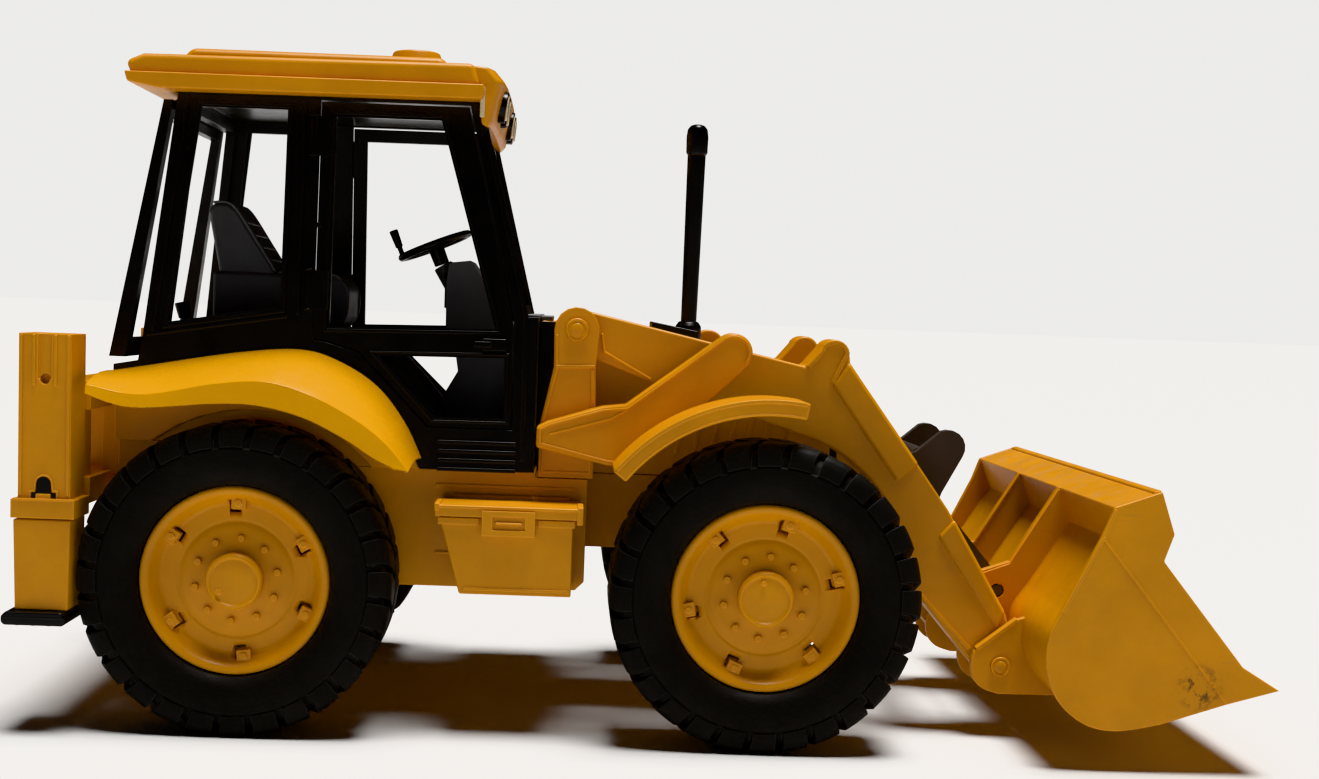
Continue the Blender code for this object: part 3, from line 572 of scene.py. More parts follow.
def moved(shape, x, y, z):
    """Shift a shape, and hand it on."""
    bmesh.ops.translate(shape, verts=shape.verts, vec=(x, y, z))
    return shape


def build_wheels():
    """Tyres, rims with slotted discs, their bolts and tabs, and hub caps."""
    for axle, x, tabs, gate in (("rear", -AXLE_X, REAR_TABS, 216),
                                ("front", AXLE_X, FRONT_TABS, 100)):
        place = (x, -WHEEL_Y, AXLE_Z)
        tyre, rim, cap = axle + "_tyre_{}", axle + "_rim_{}", axle + "_hub_cap_{}"
        add_pair(axle + "_tread_{}", moved(tyre_shape(), *place), "rubber", tyre,
                 replace=True, bevel=0.25, segments=1, angle=38)
        discs = add_pair(axle + "_wheel_disc_{}", moved(rim_shape(), *place), "yellow", rim,
                         replace=True, bevel=0)
        add_pair(axle + "_wheel_lugs_{}", moved(rim_details(tabs), *place), "yellow", rim,
                 bevel=0.25)
        add_pair(axle + "_cap_{}", moved(cap_shape(gate), *place), "yellow", cap,
                 replace=True, bevel=0.2)
        slots = bmesh.new()
        for i, degrees in enumerate(tabs):
            merge(slots, moved(slot_cutter(degrees, 1 if i % 2 else -1), *place))
        twin = mirrored(slots)
        for disc, cutter in zip(discs, (slots, twin)):
            carve(disc, cutter)


build_wheels()

# ------------------------------------------------------------------ loader
DIG = (DIG_X, DIG_Z)
LIFT = (LIFT_X, LIFT_Z)
CRANK = (CRANK_X, CRANK_Z)
WHEEL = (AXLE_X, AXLE_Z)
ARM_IN = 29.0
WEB = 0.8                      # the arm's web lies this far below its raised edges
CROSS_TUBE = (119, 110)
ARM_EAR = (109.2, 129)         # lug at the arm's bend
PIN_BORE = 3.2
FENDER_WALL = 1.6
CAB_HALF = 53.5                # at the height CAB_LOW; the sides lean in above it
CAB_LOW = 100
CAB_LEAN = 0.0888


def build_arms():
    """Two cranked plates with raised, rounded flanges, joined by two cross tubes."""
    outline = arc(LIFT, 7, 245, 78, 16) + [(99.3, 124.9), (104.4, 131.0)]
    outline += arc(ARM_EAR, 5.2, 145, 10, 10) + [(114.8, 126.4), (150.7, 77.7), (172.4, 42.4)]
    outline += arc(DIG, 7.2, 25, -160, 18) + [(141.5, 48)] + arc(WHEEL, 52.8, 5, 76, 22)
    outline += [(47.3, 117.6)]
    web = prism(bmesh.new(), outline, -ARM_OUT + WEB, -ARM_IN)
    bores = bmesh.new()
    for centre in (LIFT, DIG):
        rod(bores, centre, -60, 60, PIN_BORE)
    strips = bmesh.new()
    front = [(114.2, 127.0), (108.7, 118.8), (132.2, 86.4), (139.9, 92.7)]
    lower = [(147.4, 68.4), (152.9, 74.6), (172.3, 42.8), (169.6, 36.6)]
    for strip in (front, lower):
        prism(strips, strip, -ARM_OUT - 0.25, -ARM_OUT + 3)
    edges = bmesh.new()
    lug = [(100.4, 124.4), (105.2, 130.0)] + arc(ARM_EAR, 4.3, 140, 10, 8) + [(108.9, 119.4)]
    ridge(edges, lug, 1.7, -ARM_OUT, -ARM_OUT + 2)
    ridge(edges, [(142.0, 48.6), (149.5, 40.8), (160.6, 29.8)], 1.8, -ARM_OUT, -ARM_OUT + 2)
    ridge(edges, [(30.2, 133.5), (31.2, 127.2), (47.4, 118.4)], 1.0, -ARM_OUT, -ARM_OUT + 2)
    boss = rod(bmesh.new(), DIG, -ARM_OUT, -ARM_IN - 0.2, 5.6)
    for arm in add_pair("loader_arm_{}", web, "yellow", "loader_arms", replace=True, bevel=0):
        carve(arm, bores.copy())
        finish_mesh(arm, 0.9, 3)
    add_pair("arm_flanges_{}", strips, "yellow", "loader_arms", bevel=1.4, segments=4)
    add_pair("arm_edge_lips_{}", edges, "yellow", "loader_arms", bevel=0.45)
    for eye in add_pair("arm_eye_{}", boss, "yellow", "loader_arms", bevel=0):
        carve(eye, bores.copy())
        finish_mesh(eye, 0.4, 2)
    bores.free()
    tubes = rod(bmesh.new(), CRANK, -ARM_IN - 1, ARM_IN + 1, 3.0)
    rod(tubes, CROSS_TUBE, -ARM_IN - 1, ARM_IN + 1, 3.6)
    for y in (-22, 22):
        rod(tubes, CROSS_TUBE, y - 1, y + 1, 4.3)
    add("arm_cross_tubes", tubes, "yellow", "loader_arms")


def build_bucket():
    """Side plates, one bent sheet, a boxed lip, two ribs, two ears and a wear edge."""
    back = smooth([(192.9, 85.3), (189.7, 76.2), (177.5, 50.4), (174.4, 42.8), (174.3, 33.6),
                   (177.6, 24.4), (183.4, 17.9), (190.9, 14.2), (200, 13.7), (212.3, 16.3)], 4)
    side_outline = back + [(232.6, 23.3), (249.3, 28.3), (237.1, 35.5), (209.7, 68.6),
                           (212.5, 77.3), (207.8, 90.7)]
    sides = bmesh.new()
    for side in (RIGHT, LEFT):
        prism(sides, side_outline, side * (BUCKET_HALF - 2.2), side * BUCKET_HALF)
    add("bucket_sides", sides, "bucket", "bucket", replace=True, bevel=0.5, segments=3)
    outer = smooth([(183.4, 50.8), (178.3, 42.9), (177.3, 34.5), (180, 26.6), (184.6, 20.2),
                    (191.2, 15.9), (200, 14.3), (212.3, 16.7)], 4)
    outer = [(197.4, 73.4)] + outer
    inner = smooth([(211.6, 18.9), (200.2, 16.6), (192.1, 18.2), (186.2, 22.1), (182.1, 27.8),
                    (179.6, 35.2), (180.4, 42.2), (185.2, 49.4)], 4) + [(199.8, 72.7)]
    sheet = bmesh.new()
    width = BUCKET_HALF - 2.0
    floor = [(232.5, 23.6), (248.9, 28.4), (245, 29.5), (231.8, 25.6)]
    prism(sheet, [(193.1, 85.1)] + outer + floor + inner + [(195.2, 83.2)], -width, width)
    lip = [(193.1, 85.1), (207.7, 90.4), (212.2, 77.3), (209.6, 68.9), (207.4, 69.7),
           (209.7, 77.2), (206.3, 87.2), (195.3, 83.2)]
    prism(sheet, lip, -width, width)
    prism(sheet, [(205.6, 89.4), (205.9, 90.5), (207.9, 91.1), (208.4, 89.6)], -width, width)
    add("bucket_sheet", sheet, "bucket", "bucket", bevel=0.35)
    wear = bmesh.new()
    prism(wear, [(229, 22.0), (249.2, 28.0), (244.6, 30.0), (228, 25.4)], -width + 0.2, width - 0.2)
    for side in (RIGHT, LEFT):
        face = side * BUCKET_HALF
        crease = [(189.9, 75.6), (211.2, 49.8), (232.3, 24.0)]
        ridge(wear, crease, 0.9, face - side, face + side * 0.3)
        hem = [(193.4, 84.6), (190.6, 76.6), (178.6, 51.2)]
        ridge(wear, hem, 1.2, face - side, face + side * 0.2)
    add("bucket_edges", wear, "bucket", "bucket", bevel=0.25)
    foot = [(161.5, 30), (160.4, 26.0), (161.3, 20.8), (164.6, 17.1), (170.4, 15.2), (189, 15.3)]
    foot = smooth(foot[:5], 4) + foot[5:]
    wall = [(192, 17), (185.4, 21.1), (181, 27.1), (178.4, 34.8), (178.9, 42.4)]
    rib = [(192.8, 84.6), (177, 57.8), (167.6, 54.2), (165.3, 50.5)] + foot + wall
    rib += [(184.2, 50), (198.4, 73.2), (194.2, 84.4)]
    lips = [(193.4, 85.2), (177.3, 58.0), (167.4, 54.5), (164.9, 50.2)]
    ribs = bmesh.new()
    ears = bmesh.new()
    for side in (RIGHT, LEFT):
        prism(ribs, rib, side * 25.7, side * 28.5)
        ridge(ribs, lips, 1.0, side * 25.0, side * 28.2)
        prism(ears, [(175.2, 41)] + foot + wall, side * (ARM_OUT + 0.3), side * 48)
        ridge(ears, [(175.6, 41.3), (162.0, 30.6)], 1.2, side * (ARM_OUT + 0.2), side * 48.5)
    bores = rod(bmesh.new(), DIG, -60, 60, PIN_BORE)
    link_end = (DIG[0] + LINK_X - CRANK_X, DIG[1] + LINK_Z - CRANK_Z)
    rod(bores, link_end, -40, 40, 2.4, 24)
    for name, shape in (("bucket_ribs", ribs), ("bucket_ears", ears)):
        plates = add(name, shape, "bucket", "bucket", bevel=0)
        carve(plates, bores.copy())
        finish_mesh(plates, 0.35, 2)
    bores.free()


def pin_shape(centre, inner_end, outer_end, radius, head):
    """A pin across the vehicle with a domed head that has a ring round it."""
    shape = bmesh.new()
    x, z = centre
    rod(shape, centre, inner_end, outer_end, radius, 36)
    profile = [(0.4, -0.9), (head * 0.5, -0.8), (head * 0.62, -0.3), (head * 0.8, -0.3),
               (head * 0.9, -0.7), (head, -0.3), (head, 0.4), (0.4, 0.4)]
    loft(shape, [[(x + dx, outer_end + y, z + dz) for dx, dz in circle(r, 36)]
                 for r, y in profile])
    return shape


def build_rear_fenders():
    """Glossy pressed sheet with a crowned top, a crease and an upright outer band."""
    spans = 8
    top = smooth([(-132.4, 115.3), (-118.7, 117.8), (-90.6, 122.8), (-70, 124.5),
                  (-56.8, 121), (-44, 113.2), (-34.5, 101.6), (-28.6, 90)], spans)
    crease = smooth([(-132.4, 112.2), (-115, 109.6), (-92, 113.8), (-76, 115),
                     (-62, 111.4), (-48, 104.4), (-38, 97), (-30.2, 88)], spans)
    lip = smooth([(-132.4, 109.2), (-118, 105.4), (-92, 107.4), (-78, 107.2),
                  (-64, 104), (-51, 97.9), (-41.5, 92), (-34.6, 88.9)], spans)
    shape = bmesh.new()
    rows = []
    for share, bulge in ((0, 0), (0.2, 0.9), (0.45, 1.5), (0.7, 1.3), (0.9, 0.6), (0.97, 0.1)):
        row = []
        for (x0, z0), (x1, z1) in zip(top, crease):
            start = Vector((x0, -cab_half(z0) - 1, z0))
            point = start.lerp(Vector((x1, -83, z1)), share)
            row.append(shape.verts.new(point + Vector((0, 0, bulge))))
        rows.append(row)
    for share in (0.03, 0.2, 0.8, 1):
        row = []
        for (x1, z1), (x2, z2) in zip(crease, lip):
            point = Vector((x1, -83.2, z1)).lerp(Vector((x2, -84, z2)), share)
            row.append(shape.verts.new(point))
        rows.append(row)
    for upper, under in zip(rows, rows[1:]):
        for i in range(len(upper) - 1):
            shape.faces.new((upper[i], upper[i + 1], under[i + 1], under[i]))
    skins = add_pair("rear_fender_skin_{}", shape, "gloss", "rear_fender_{}", replace=True,
                     bevel=0)
    for skin in skins:
        outward = sum(face.normal.z for face in skin.data.polygons) > 0
        shell = skin.modifiers.new("shell", "SOLIDIFY")
        shell.thickness = FENDER_WALL * MM
        shell.offset = -1 if outward else 1
        finish_mesh(skin, 0.5, 3, 50)


def cab_half(z):
    """Half width of the cab's leaning side at a height."""
    return CAB_HALF - (z - CAB_LOW) * CAB_LEAN


def leaning(shape):
    """Move a shape with y measured outward from the cab's side onto that leaning side."""
    for vert in shape.verts:
        vert.co.y -= cab_half(vert.co.z)
    return shape


def closed(points):
    """A line of points that comes back to its start."""
    return list(points) + [points[0]]


# ------------------------------------------------------------------ roof
HATCH_X = -39
VISOR_LAMPS = (-37, -22, 22, 37)


def build_roof():
    """Lip and slab with generous rounding, a crown with five beads, a visor with lamps."""
    lip = bmesh.new()
    prism(lip, [(-118, 208.4), (-12.6, 208.8), (-11.5, 211), (-11.8, 213.6), (-129.4, 213.6),
                (-128.4, 210.2)], -54, 54)
    rim = add("roof_lip", lip, "yellow", "cab_roof", replace=True, bevel=0)
    ledge = brick(bmesh.new(), (-114.4, -44.4, 200), (-13.7, 44.4, 212.3))
    carve(rim, ledge)
    finish_mesh(rim, 0.8, 3)
    slab = bmesh.new()
    prism(slab, [(-128, 213), (-13, 213), (-15.4, 220.6), (-123.7, 219.8), (-129.6, 217.2)],
          -51.8, 51.8)
    add("roof_slab", slab, "yellow", "cab_roof", bevel=1.9, segments=5)
    crown = prism(bmesh.new(), [(-118, 218), (-22, 218), (-27, 224.6), (-112, 224.6)], -34, 34)
    add("roof_crown", crown, "yellow", "cab_roof", bevel=2.2, segments=4)
    beads = bmesh.new()
    for y in (-22, -11, 0, 11, 22):
        tube(beads, (-106, y, 224.3), (-58, y, 224.3), 0.9, 12)
    add("roof_beads", beads, "yellow", "cab_roof", bevel=0.2)
    hatch = tube(bmesh.new(), (HATCH_X, 0, 224.6), (HATCH_X, 0, 227.6), 10.2, 48)
    tube(hatch, (HATCH_X, 0, 227.2), (HATCH_X, 0, 230.6), 9.4, 48, 8.2)
    add("hatch_drum", hatch, "yellow", "roof_hatch", replace=True, bevel=0.7, segments=3)
    visor = bmesh.new()
    rings = []
    for y, back in ((-50, 3.4), (-48.6, 1.9), (-44, 0.7), (-30, 0.2), (0, 0), (30, 0.2),
                    (44, 0.7), (48.6, 1.9), (50, 3.4)):
        rings.append([(-17.6, y, 220.2), (-8.2 - back, y, 219.6), (-4.3 - back, y, 215.2),
                      (-7.4 - back, y, 202.2), (-9.4 - back * 0.6, y, 200.2), (-12.4, y, 201.5),
                      (-13.4, y, 213.4)])
    loft(visor, rings)
    add("visor_shell", visor, "yellow", "roof_visor", replace=True, bevel=0.9, segments=3)
    pods = bmesh.new()
    lenses = bmesh.new()
    for y in VISOR_LAMPS:
        tube(pods, (-9, y, 208.6), (-4.6, y, 208.0), 5.6, 36, 5.2)
        tube(lenses, (-5.2, y, 208.0), (-4.1, y, 207.9), 4.4, 36, 4.0)
    for side in (RIGHT, LEFT):
        brick(lenses, (-13.0, side * 49.4, 203.2), (-11.4, side * 50.5, 213.2))
    add("visor_lamp_rings", pods, "black", "roof_visor")
    add("visor_lenses", lenses, "lens", "roof_visor")


# ------------------------------------------------------------------ cab
HAND_R = 12.8                  # radius of the steering wheel's ring


def build_cab_details():
    """Beads round the windows, a ribbed step, latches, hinge caps, a cowl strip and levers."""
    beads = bmesh.new()
    quarter = [(-106.2, 205.1), (-76.0, 205.1), (-76.4, 137.2), (-115.4, 130.6)]
    ridge(beads, closed(quarter), 1.5, -0.7, 0.8)
    ridge(beads, [(-121.4, 127.6), (-74.9, 135.3)], 1.1, -0.9, 0.8)
    ridge(beads, [(-71.4, 136), (-71.4, 206.6)], 1.2, -0.8, 0.8)
    ridge(beads, [(-119.5, 128.8), (-110.3, 207.2)], 1.3, -0.8, 0.8)
    ridge(beads, [(-12.6, 206.6), (4.4, 138.6), (4.8, 90)], 1.6, -0.8, 0.8)
    for z in (86.6, 89.6, 92.6, 95.6):
        ridge(beads, [(-23.5, z), (2.8, z)], 1.3, -0.9, 0.6)
    add_pair("cab_beads_{}", leaning(beads), "black", "cab_frame")
    frame_lines = bmesh.new()
    ridge(frame_lines, closed([(-62.2, 203.6), (-24.8, 203.6), (-3.9, 132.4), (-62.2, 131.2)]),
          1.2, -0.45, 0.6)
    ridge(frame_lines, closed([(-46.8, 124.6), (-1.0, 125.2), (-0.7, 102.5), (-25.4, 102.3)]),
          1.0, -0.45, 0.6)
    brick(frame_lines, (-9.6, -1.9, 126.4), (-1.6, 0.4, 130.4))
    brick(frame_lines, (-12.4, -2.6, 127.4), (-6.8, -1.2, 129.4))
    rod(frame_lines, (-65.4, 166), -1.0, 0.4, 1.0, 16)
    add_pair("door_beads_{}", leaning(frame_lines), "black", "door_{}")
    hinges = bmesh.new()
    for low in (137.6, 188.6):
        for z in (low, low + 13.2):
            tube(hinges, (-68, -1.6, z), (-68, -1.6, z + 0.8), 1.7, 20)
    add_pair("door_hinge_caps_{}", leaning(hinges), "black", "door_{}", bevel=0.2)
    cowl = brick(bmesh.new(), (4.9, -47, 137.7), (9.2, 47, 139.0))
    brick(cowl, (9.0, -25, 136.8), (13.2, 25, 138.6))
    add("cowl_strip", cowl, "piping", "cab_frame", bevel=0.4)
    wall = brick(bmesh.new(), (9.1, -26.3, 101.5), (14.7, -25.2, 136.7))
    add_pair("cowl_side_{}", wall, "black", "cab_frame")
    strip = bmesh.new()
    ridge(strip, [(-50.5, 124.4), (-45.6, 121.6), (-38.4, 114.4), (-28.4, 102.6)], 2.4, -46.4, -43)
    add_pair("arch_strip_{}", strip, "piping", "cab_frame", bevel=0.5)
    levers = bmesh.new()
    for y in (-33, -29, 29, 33):
        tube(levers, (-110.8, y, 123.2), (-113.6, y, 135.0), 0.9, 16)
        tube(levers, (-113.2, y, 133.4), (-114.4, y, 138.6), 1.7, 20, 2.1)
    add("levers", levers, "black", "cab_frame", bevel=0.4)


def build_seat():
    """Bucket seat: rounded cushion, slanted back with side bolsters and pale piping."""
    cushion = bmesh.new()
    prism(cushion, [(-107, 132), (-62, 132), (-59.6, 134.5)] + arc((-65.5, 144), 6, 0, 90, 6)
          + [(-107, 150)], -17, 17)
    add("seat_cushion", cushion, "grey", "seat", replace=True, bevel=1.6, segments=4)
    outline = [(-104.8, 148), (-84.5, 148), (-85.6, 151.6), (-99.0, 171.6), (-102.5, 173.9),
               (-107.2, 173.9), (-109.4, 171.5)]
    back = prism(bmesh.new(), outline, -15.5, 15.5)
    add("seat_back", back, "grey", "seat", bevel=1.8, segments=4)
    piping = bmesh.new()
    line = smooth([(-85.2, 150.4), (-92.4, 161.4), (-99.4, 171.8), (-103.2, 174.2),
                   (-107.6, 174.0)], 4)
    front = smooth([(-62.5, 133.4), (-59.9, 136.0), (-59.5, 143.8), (-62.4, 148.6), (-66.0, 150.2),
                    (-84, 150.4)], 4)
    for side in (RIGHT, LEFT):
        ridge(piping, line, 0.9, side * 13.6, side * 15.2)
        ridge(piping, front, 0.9, side * 15.0, side * 16.6)
    add("seat_piping", piping, "piping", "seat", bevel=0.25)
    ribs = bmesh.new()
    for share in (0.2, 0.4, 0.6, 0.8):
        rod(ribs, (-85.2 - 14.2 * share, 150.6 + 21.2 * share), -12.5, 12.5, 0.8, 12)
    for x in (-81, -75.5, -70):
        rod(ribs, (x, 149.7), -13.5, 13.5, 0.8, 12)
    add("seat_ribs", ribs, "grey", "seat", bevel=0.2)


def build_controls():
    """Round steering wheel with three spokes, and a stepped dashboard."""
    hub = Vector(pivot("steering_wheel_turn"))
    axis = Vector(JOINTS["steering_wheel_turn"]["axis"]).normalized()
    wheel = lathe(bmesh.new(), [(HAND_R + out, y) for out, y in circle(1.25, 12)], 56)
    boss = [(0.4, 1.6), (2.0, 1.4), (2.9, 0.4), (2.7, -7.2), (0.4, -7.2)]
    lathe(wheel, boss, 24, closed=False)
    for degrees in (180, 300, 60):
        x, z = polar(12.6, degrees)
        tube(wheel, (0, -0.6, 0), (x, 0, z), 1.15, 12, 0.9)
    tube(wheel, (-HAND_R, 0, 0), (-HAND_R, 8.2, 0), 0.9, 14)
    tube(wheel, (-HAND_R, 3.6, 0), (-HAND_R, 10, 0), 1.3, 18, 1.6)
    turn = Vector((0, 1, 0)).rotation_difference(axis).to_matrix().to_4x4()
    bmesh.ops.transform(wheel, verts=wheel.verts, matrix=Matrix.Translation(hub) @ turn)
    add("wheel_ring", wheel, "black", "steering_wheel", replace=True)
    soften("dashboard", "grey", 1.3)
    pods = bmesh.new()
    for y in (-8, 8):
        tube(pods, (-22.6, y, 152.5), (-25.6, y, 153.6), 3.4, 28)
    brick(pods, (-25.8, -11, 140), (-24.6, 11, 147))
    add("dashboard_gauges", pods, "black", "dashboard")


# ------------------------------------------------------------------ front end
WING_TIP = (73.7, 128.8)
STACK = (61.7, -15)            # the exhaust's x and y
STACK_FOOT = (61.2, -15)       # it leans forward by the difference


def build_front():
    """Pins with ringed heads, and the borders of the towers, wings and front fenders."""
    for name, centre, owner, head in (("arm_pin_{}", LIFT, "loader_pin_{}", 3.9),
                                      ("dig_pin_{}", DIG, "bucket_pin_{}", 3.4)):
        add_pair(name, pin_shape(centre, -25.6, -48.6, 2.9, head), "yellow", owner,
                 replace=True, bevel=0.2)
    tower = bmesh.new()
    foot = closed([(11.6, 86.2), (27.6, 86.2), (27.6, 108), (11.6, 101.6)])
    ridge(tower, foot, 0.9, -48.5, -47.5)
    ridge(tower, [(11.4, 103.4), (15.4, 121.0), (15.0, 132.6)], 1.1, -48.6, -47.5)
    ridge(tower, [(27.7, 110), (27.3, 121.4)], 1.1, -48.6, -47.5)
    ridge(tower, [(14.8, 121.8), (28.2, 122.2)], 1.2, -48.7, -47.5)
    add_pair("tower_borders_{}", tower, "yellow", "loader_tower_{}")
    wing = [(9.4, 95.1), (9.4, 101.8), (13, 103.7), (31, 109.3), (38.9, 110.3)]
    wing += arc(WING_TIP, 6.4, 125, -40, 14)
    wing += arc(WHEEL, 62, 112, 140, 8) + [(33.8, 89.7)]
    cover = prism(bmesh.new(), wing, -57.4, -48.4)
    add_pair("wing_{}", cover, "yellow", "front_fender_{}", replace=True, bevel=0.8, segments=3)
    rail = bmesh.new()
    inner = [(10.6, 96.2), (10.6, 101.1), (13.5, 102.6), (31.2, 108.1), (39.4, 109.0)]
    inner += arc(WING_TIP, 5.3, 125, -40, 14)
    ridge(rail, inner, 0.9, -58.1, -57)
    ridge(rail, arc(WHEEL, 63.2, 112, 140, 10) + [(33.4, 91.2), (11.0, 96.4)], 0.9, -58.1, -57)
    ridge(rail, [(39.4, 109.0), (33.9, 105.4), (13.6, 99.6)], 0.8, -57.9, -57)
    add_pair("wing_borders_{}", rail, "yellow", "front_fender_{}")
    band = bmesh.new()
    upper = arc(WHEEL, 64.6, 80, 141.8, 28)
    prism(band, upper + arc(WHEEL, 59.2, 141.8, 80, 28), -84, -82)
    prism(band, upper + arc(WHEEL, 62.4, 141.8, 80, 28), -83, -56.5)
    add_pair("fender_band_{}", band, "yellow", "front_fender_{}", bevel=0.8, segments=3)
    strip = ridge(bmesh.new(), arc(WHEEL, 63.9, 81, 140.8, 28), 1.3, -84.4, -83)
    ridge(strip, arc(WHEEL, 59.8, 81, 140.8, 28), 0.7, -84.3, -83)
    add_pair("fender_edges_{}", strip, "yellow", "front_fender_{}", bevel=0.25)


def build_hood():
    """Hood panel, side louvres, grille lamps and the exhaust stack."""
    panel = ridge(bmesh.new(), [(22, 136.2), (103, 121.4)], 1.0, -9, 9)
    add("hood_panel", panel, "yellow", "hood", bevel=0.4)
    louvres = bmesh.new()
    for side in (RIGHT, LEFT):
        for x in range(52, 96, 6):
            ridge(louvres, [(x, 92), (x + 3, 108)], 1.6, side * 25, side * 26)
    add("hood_louvres", louvres, "yellow", "hood")
    lamps = bmesh.new()
    frames = bmesh.new()
    for side in (RIGHT, LEFT):
        tube(frames, (113, side * 14, 100), (116.2, side * 14, 100), 6.4, 36)
        tube(lamps, (115.4, side * 14, 100), (116.8, side * 14, 100), 5.2, 36, 4.6)
    add("lamp_frames", frames, "black", "grille")
    add("lamp_lenses", lamps, "lens", "grille")
    stack = tube(bmesh.new(), (*STACK_FOOT, 131.2), (*STACK, 199), 2.7, 40, 3.2)
    profile = [(3.2, 196.5), (3.75, 197.6), (3.85, 203.0), (3.5, 205.6), (2.5, 207.0), (1.2, 207.4),
               (0.3, 207.4)]
    collar = [(4.6, 132.2), (4.6, 136.6), (3.4, 138.4)]
    for (x, y), turned in ((STACK, profile), (STACK_FOOT, collar)):
        loft(stack, [[(x + dx, y + dy, z) for dx, dy in circle(r, 40)] for r, z in turned])
    base = [(47.8, 131.7), (64.4, 128.7), (64.4, 135.1), (47.8, 138)]
    prism(stack, base, -24, -6)
    add("exhaust_stack", stack, "black", "exhaust", replace=True, bevel=0.5, segments=3)


# ------------------------------------------------------------------ boxes and stabilisers
def build_boxes():
    """Toolbox latch window, rims and end tabs; stabiliser latches and foot treads."""
    for side, sign in (("right", RIGHT), ("left", LEFT)):
        lid = soften(f"toolbox_lid_{side}", "yellow", 0.6)
        window = brick(bmesh.new(), (-3.6, sign * 76, 69.0), (7.0, sign * 72.5, 73.4))
        carve(lid, window)
    tabs = brick(bmesh.new(), (23.8, -72.9, 71.4), (25.8, -60, 77.2))
    brick(tabs, (-22.6, -72.9, 74.6), (-20.8, -60, 77.2))
    ridge(tabs, [(-21.4, 76.1), (24.6, 76.1)], 1.1, -72.9, -71.5)
    ridge(tabs, [(-2.6, 71.2), (6.0, 71.2)], 0.8, -73.6, -72)
    add_pair("lid_tabs_{}", tabs, "yellow", "toolbox_lid_{}", bevel=0.35)
    rims = brick(bmesh.new(), (-21.4, -71.9, 70.2), (-8.0, -70.6, 72.5))
    brick(rims, (11.2, -71.9, 70.2), (23.2, -70.6, 72.5))
    ridge(rims, [(-12.6, 49.2), (21.6, 49.2)], 1.0, -71.5, -70.5)
    add_pair("box_rims_{}", rims, "yellow", "toolbox_{}")
    latch = bmesh.new()
    bridge = [(-149.2, 75.4), (-149.2, 77.8), (-147.8, 77.8)] + arc((-144.9, 80.2), 2.7, 180, 0, 10)
    bridge += [(-142, 77.8), (-140.6, 77.8), (-140.6, 75.4)]
    ridge(latch, bridge, 0.7, -84.5, -83.5)
    brick(latch, (-147.2, -85.0, 75.0), (-142.6, -83.5, 77.0))
    # Painted shade: a thin black sheet inside the latch's arch stands for the shade in its opening.
    hole = prism(bmesh.new(), bridge, -84.15, -83.4)
    add_pair("latch_hole_{}", hole, "black", "stabiliser_casing_{}", bevel=0)
    for x in (-152.3, -137.4):
        ridge(latch, [(x, 76.6), (x, 127.2)], 1.1, -84.6, -83.5)
    for x in (-148.3, -141.5):
        ridge(latch, [(x, 111.2), (x, 127.2)], 1.0, -84.5, -83.5)
    ridge(latch, [(-154.4, 75.2), (-135.6, 75.2)], 0.8, -85.6, -84.6)
    add_pair("stabiliser_latch_{}", latch, "yellow", "stabiliser_casing_{}")
    pad = ridge(bmesh.new(), [(-156, 38.0), (-137.6, 38.0)], 0.8, -88.2, -87)
    for x in (-152, -147, -142):
        brick(pad, (x - 0.7, -87, 35.2), (x + 0.7, -63, 36))
    add_pair("foot_treads_{}", pad, "black", "stabiliser_foot_{}", bevel=0.2)


def build_body_details():
    """Beads on the body's sides, bolts on the rear frame, heads on the linkage's pins."""
    beads = ridge(bmesh.new(), [(-24, 80.5), (23, 80.5)], 1.2, -48.7, -47.4)
    ridge(beads, [(-24, 57.5), (20, 57.5)], 1.0, -48.6, -47.4)
    add_pair("chassis_beads_{}", beads, "yellow", "chassis")
    bolts = bmesh.new()
    back = extent("rear_frame")[0][0]
    for y in (-48, -24, 24, 48):
        for z in (76.7, 107.5):
            tube(bolts, (back + 1, y, z), (back - 1.2, y, z), 2.2, 6)
    add("frame_bolts", bolts, "steel", "rear_frame", bevel=0.2)
    low, high = extent("tilt_crank")
    heads = bmesh.new()
    for y, out in ((low[1], -0.9), (high[1], 0.9)):
        rod(heads, CRANK, y - out * 0.5, y + out, 4.6)
    add("crank_bosses", heads, "brown", "tilt_crank")


build_arms()
build_bucket()
build_rear_fenders()
build_roof()
build_cab_details()
build_seat()
build_controls()
build_front()
build_hood()
build_boxes()
build_body_details()

SOFT_NODES = {
    "yellow": (["chassis", "rear_body", "rear_frame", "hood", "front_axle"],
               ["stabiliser_casing", "stabiliser_leg", "loader_tower", "toolbox"]),
    "black": (["cab_frame", "rear_window", "grille", "tie_rod"],
              ["door", "stabiliser_foot", "steering_knuckle"]),
    "grey": (["seat_base"], []),
    "brown": (["tilt_pin", "link_pin"], []),
    "steel": (["rear_axle"], []),
}
for look, (single, paired) in SOFT_NODES.items():
    for name in single + [n + s for n in paired for s in ("_right", "_left")]:
        soften(name, look, 0.55)
for name in ("tilt_crank", "tilt_link"):
    soften(name, "brown", 1.1)


# ------------------------------------------------------------------ floor, light and camera
FRAME_WIDTH = 1319
EYE = (19.3, -621.3, 140.8)
HEADING = 0.0165               # radians clockwise from +Y
DIP = 0.0844
ROLL = 0.0371
SHIFT = 0.05
FOCAL = 1704.3 / FRAME_WIDTH   # focal length as a share of the frame's width
SENSOR = 36.0
AMBIENT = 0.03
BACKDROP = 1.0
SUN_POWER = 5.0
SUN_FROM = (0.10, -0.03, 1.0)
SUN_SPREAD = 24                # degrees across
SUN_COLOUR = (1, 0.98, 0.955)
FILL_POWER = 0.25
FILL_PLACE = (-0.7, -1.1, 0.5)  # metres
FILL_TARGET = (0, 0, 0.1)     # metres
FLOOR_GREY = 0.72


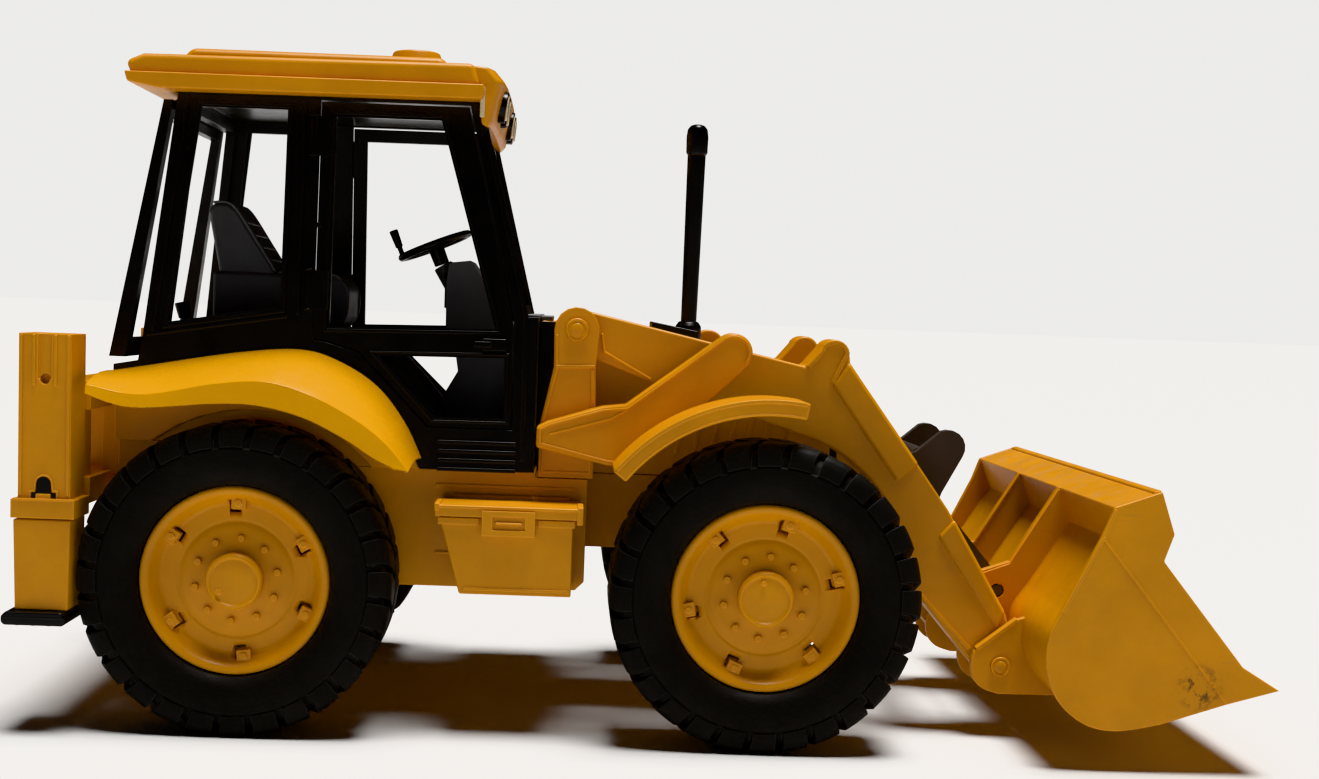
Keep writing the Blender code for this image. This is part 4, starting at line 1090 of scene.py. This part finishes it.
def build_stage():
    """A plain pale floor."""
    shape = bmesh.new()
    bmesh.ops.create_grid(shape, x_segments=1, y_segments=1, size=30)
    mesh = bpy.data.meshes.new("floor")
    shape.to_mesh(mesh)
    shape.free()
    floor = new_object("floor", mesh)
    material, _, shader = new_material("pale_floor")
    shader.inputs["Base Color"].default_value = (FLOOR_GREY, FLOOR_GREY, FLOOR_GREY, 1)
    shader.inputs["Roughness"].default_value = 0.7
    mesh.materials.append(material)


def add_light(name, kind, power, ahead, place=(0, 0, 0), **settings):
    """A lamp at a place, shining in a direction."""
    data = bpy.data.lights.new(name, kind)
    data.energy = power
    for key, value in settings.items():
        setattr(data, key, value)
    lamp = new_object(name, data)
    lamp.location = place
    lamp.rotation_mode = "QUATERNION"
    lamp.rotation_quaternion = ahead.to_track_quat("-Z", "Y")


def build_light():
    """A high soft sun, a weak fill and a pale backdrop that hardly lights the object."""
    world = bpy.data.worlds.new("studio")
    world.use_nodes = True
    tree = world.node_tree
    background = tree.nodes["Background"]
    background.inputs["Color"].default_value = (0.93, 0.925, 0.915, 1)
    path = node(tree, "ShaderNodeLightPath")
    tree.links.new(remap(tree, path.outputs["Is Camera Ray"], 0, 1, AMBIENT, BACKDROP),
                   background.inputs["Strength"])
    bpy.context.scene.world = world
    add_light("soft_sun", "SUN", SUN_POWER, -Vector(SUN_FROM), color=SUN_COLOUR,
              angle=math.radians(SUN_SPREAD))
    add_light("fill", "AREA", FILL_POWER, Vector(FILL_TARGET) - Vector(FILL_PLACE), FILL_PLACE,
              size=1.0)


def build_camera():
    """A camera at the photograph's viewing angle."""
    ahead = Vector((math.sin(HEADING) * math.cos(DIP), math.cos(HEADING) * math.cos(DIP),
                    -math.sin(DIP)))
    right = Vector((math.cos(HEADING), -math.sin(HEADING), 0))
    up = right.cross(ahead)
    across = right * math.cos(ROLL) + up * math.sin(ROLL)
    above = up * math.cos(ROLL) - right * math.sin(ROLL)
    data = bpy.data.cameras.new("camera")
    data.sensor_width = SENSOR
    data.lens = FOCAL * SENSOR
    data.shift_x = SHIFT
    data.shift_y = SHIFT
    data.clip_start = 0.01
    camera = new_object("camera", data)
    turn = Matrix((across, above, -ahead)).transposed()
    camera.matrix_world = Matrix.Translation(Vector(EYE) * MM) @ turn.to_4x4()
    bpy.context.scene.camera = camera


bpy.context.scene.view_settings.view_transform = "Khronos PBR Neutral"
build_stage()
build_light()
build_camera()
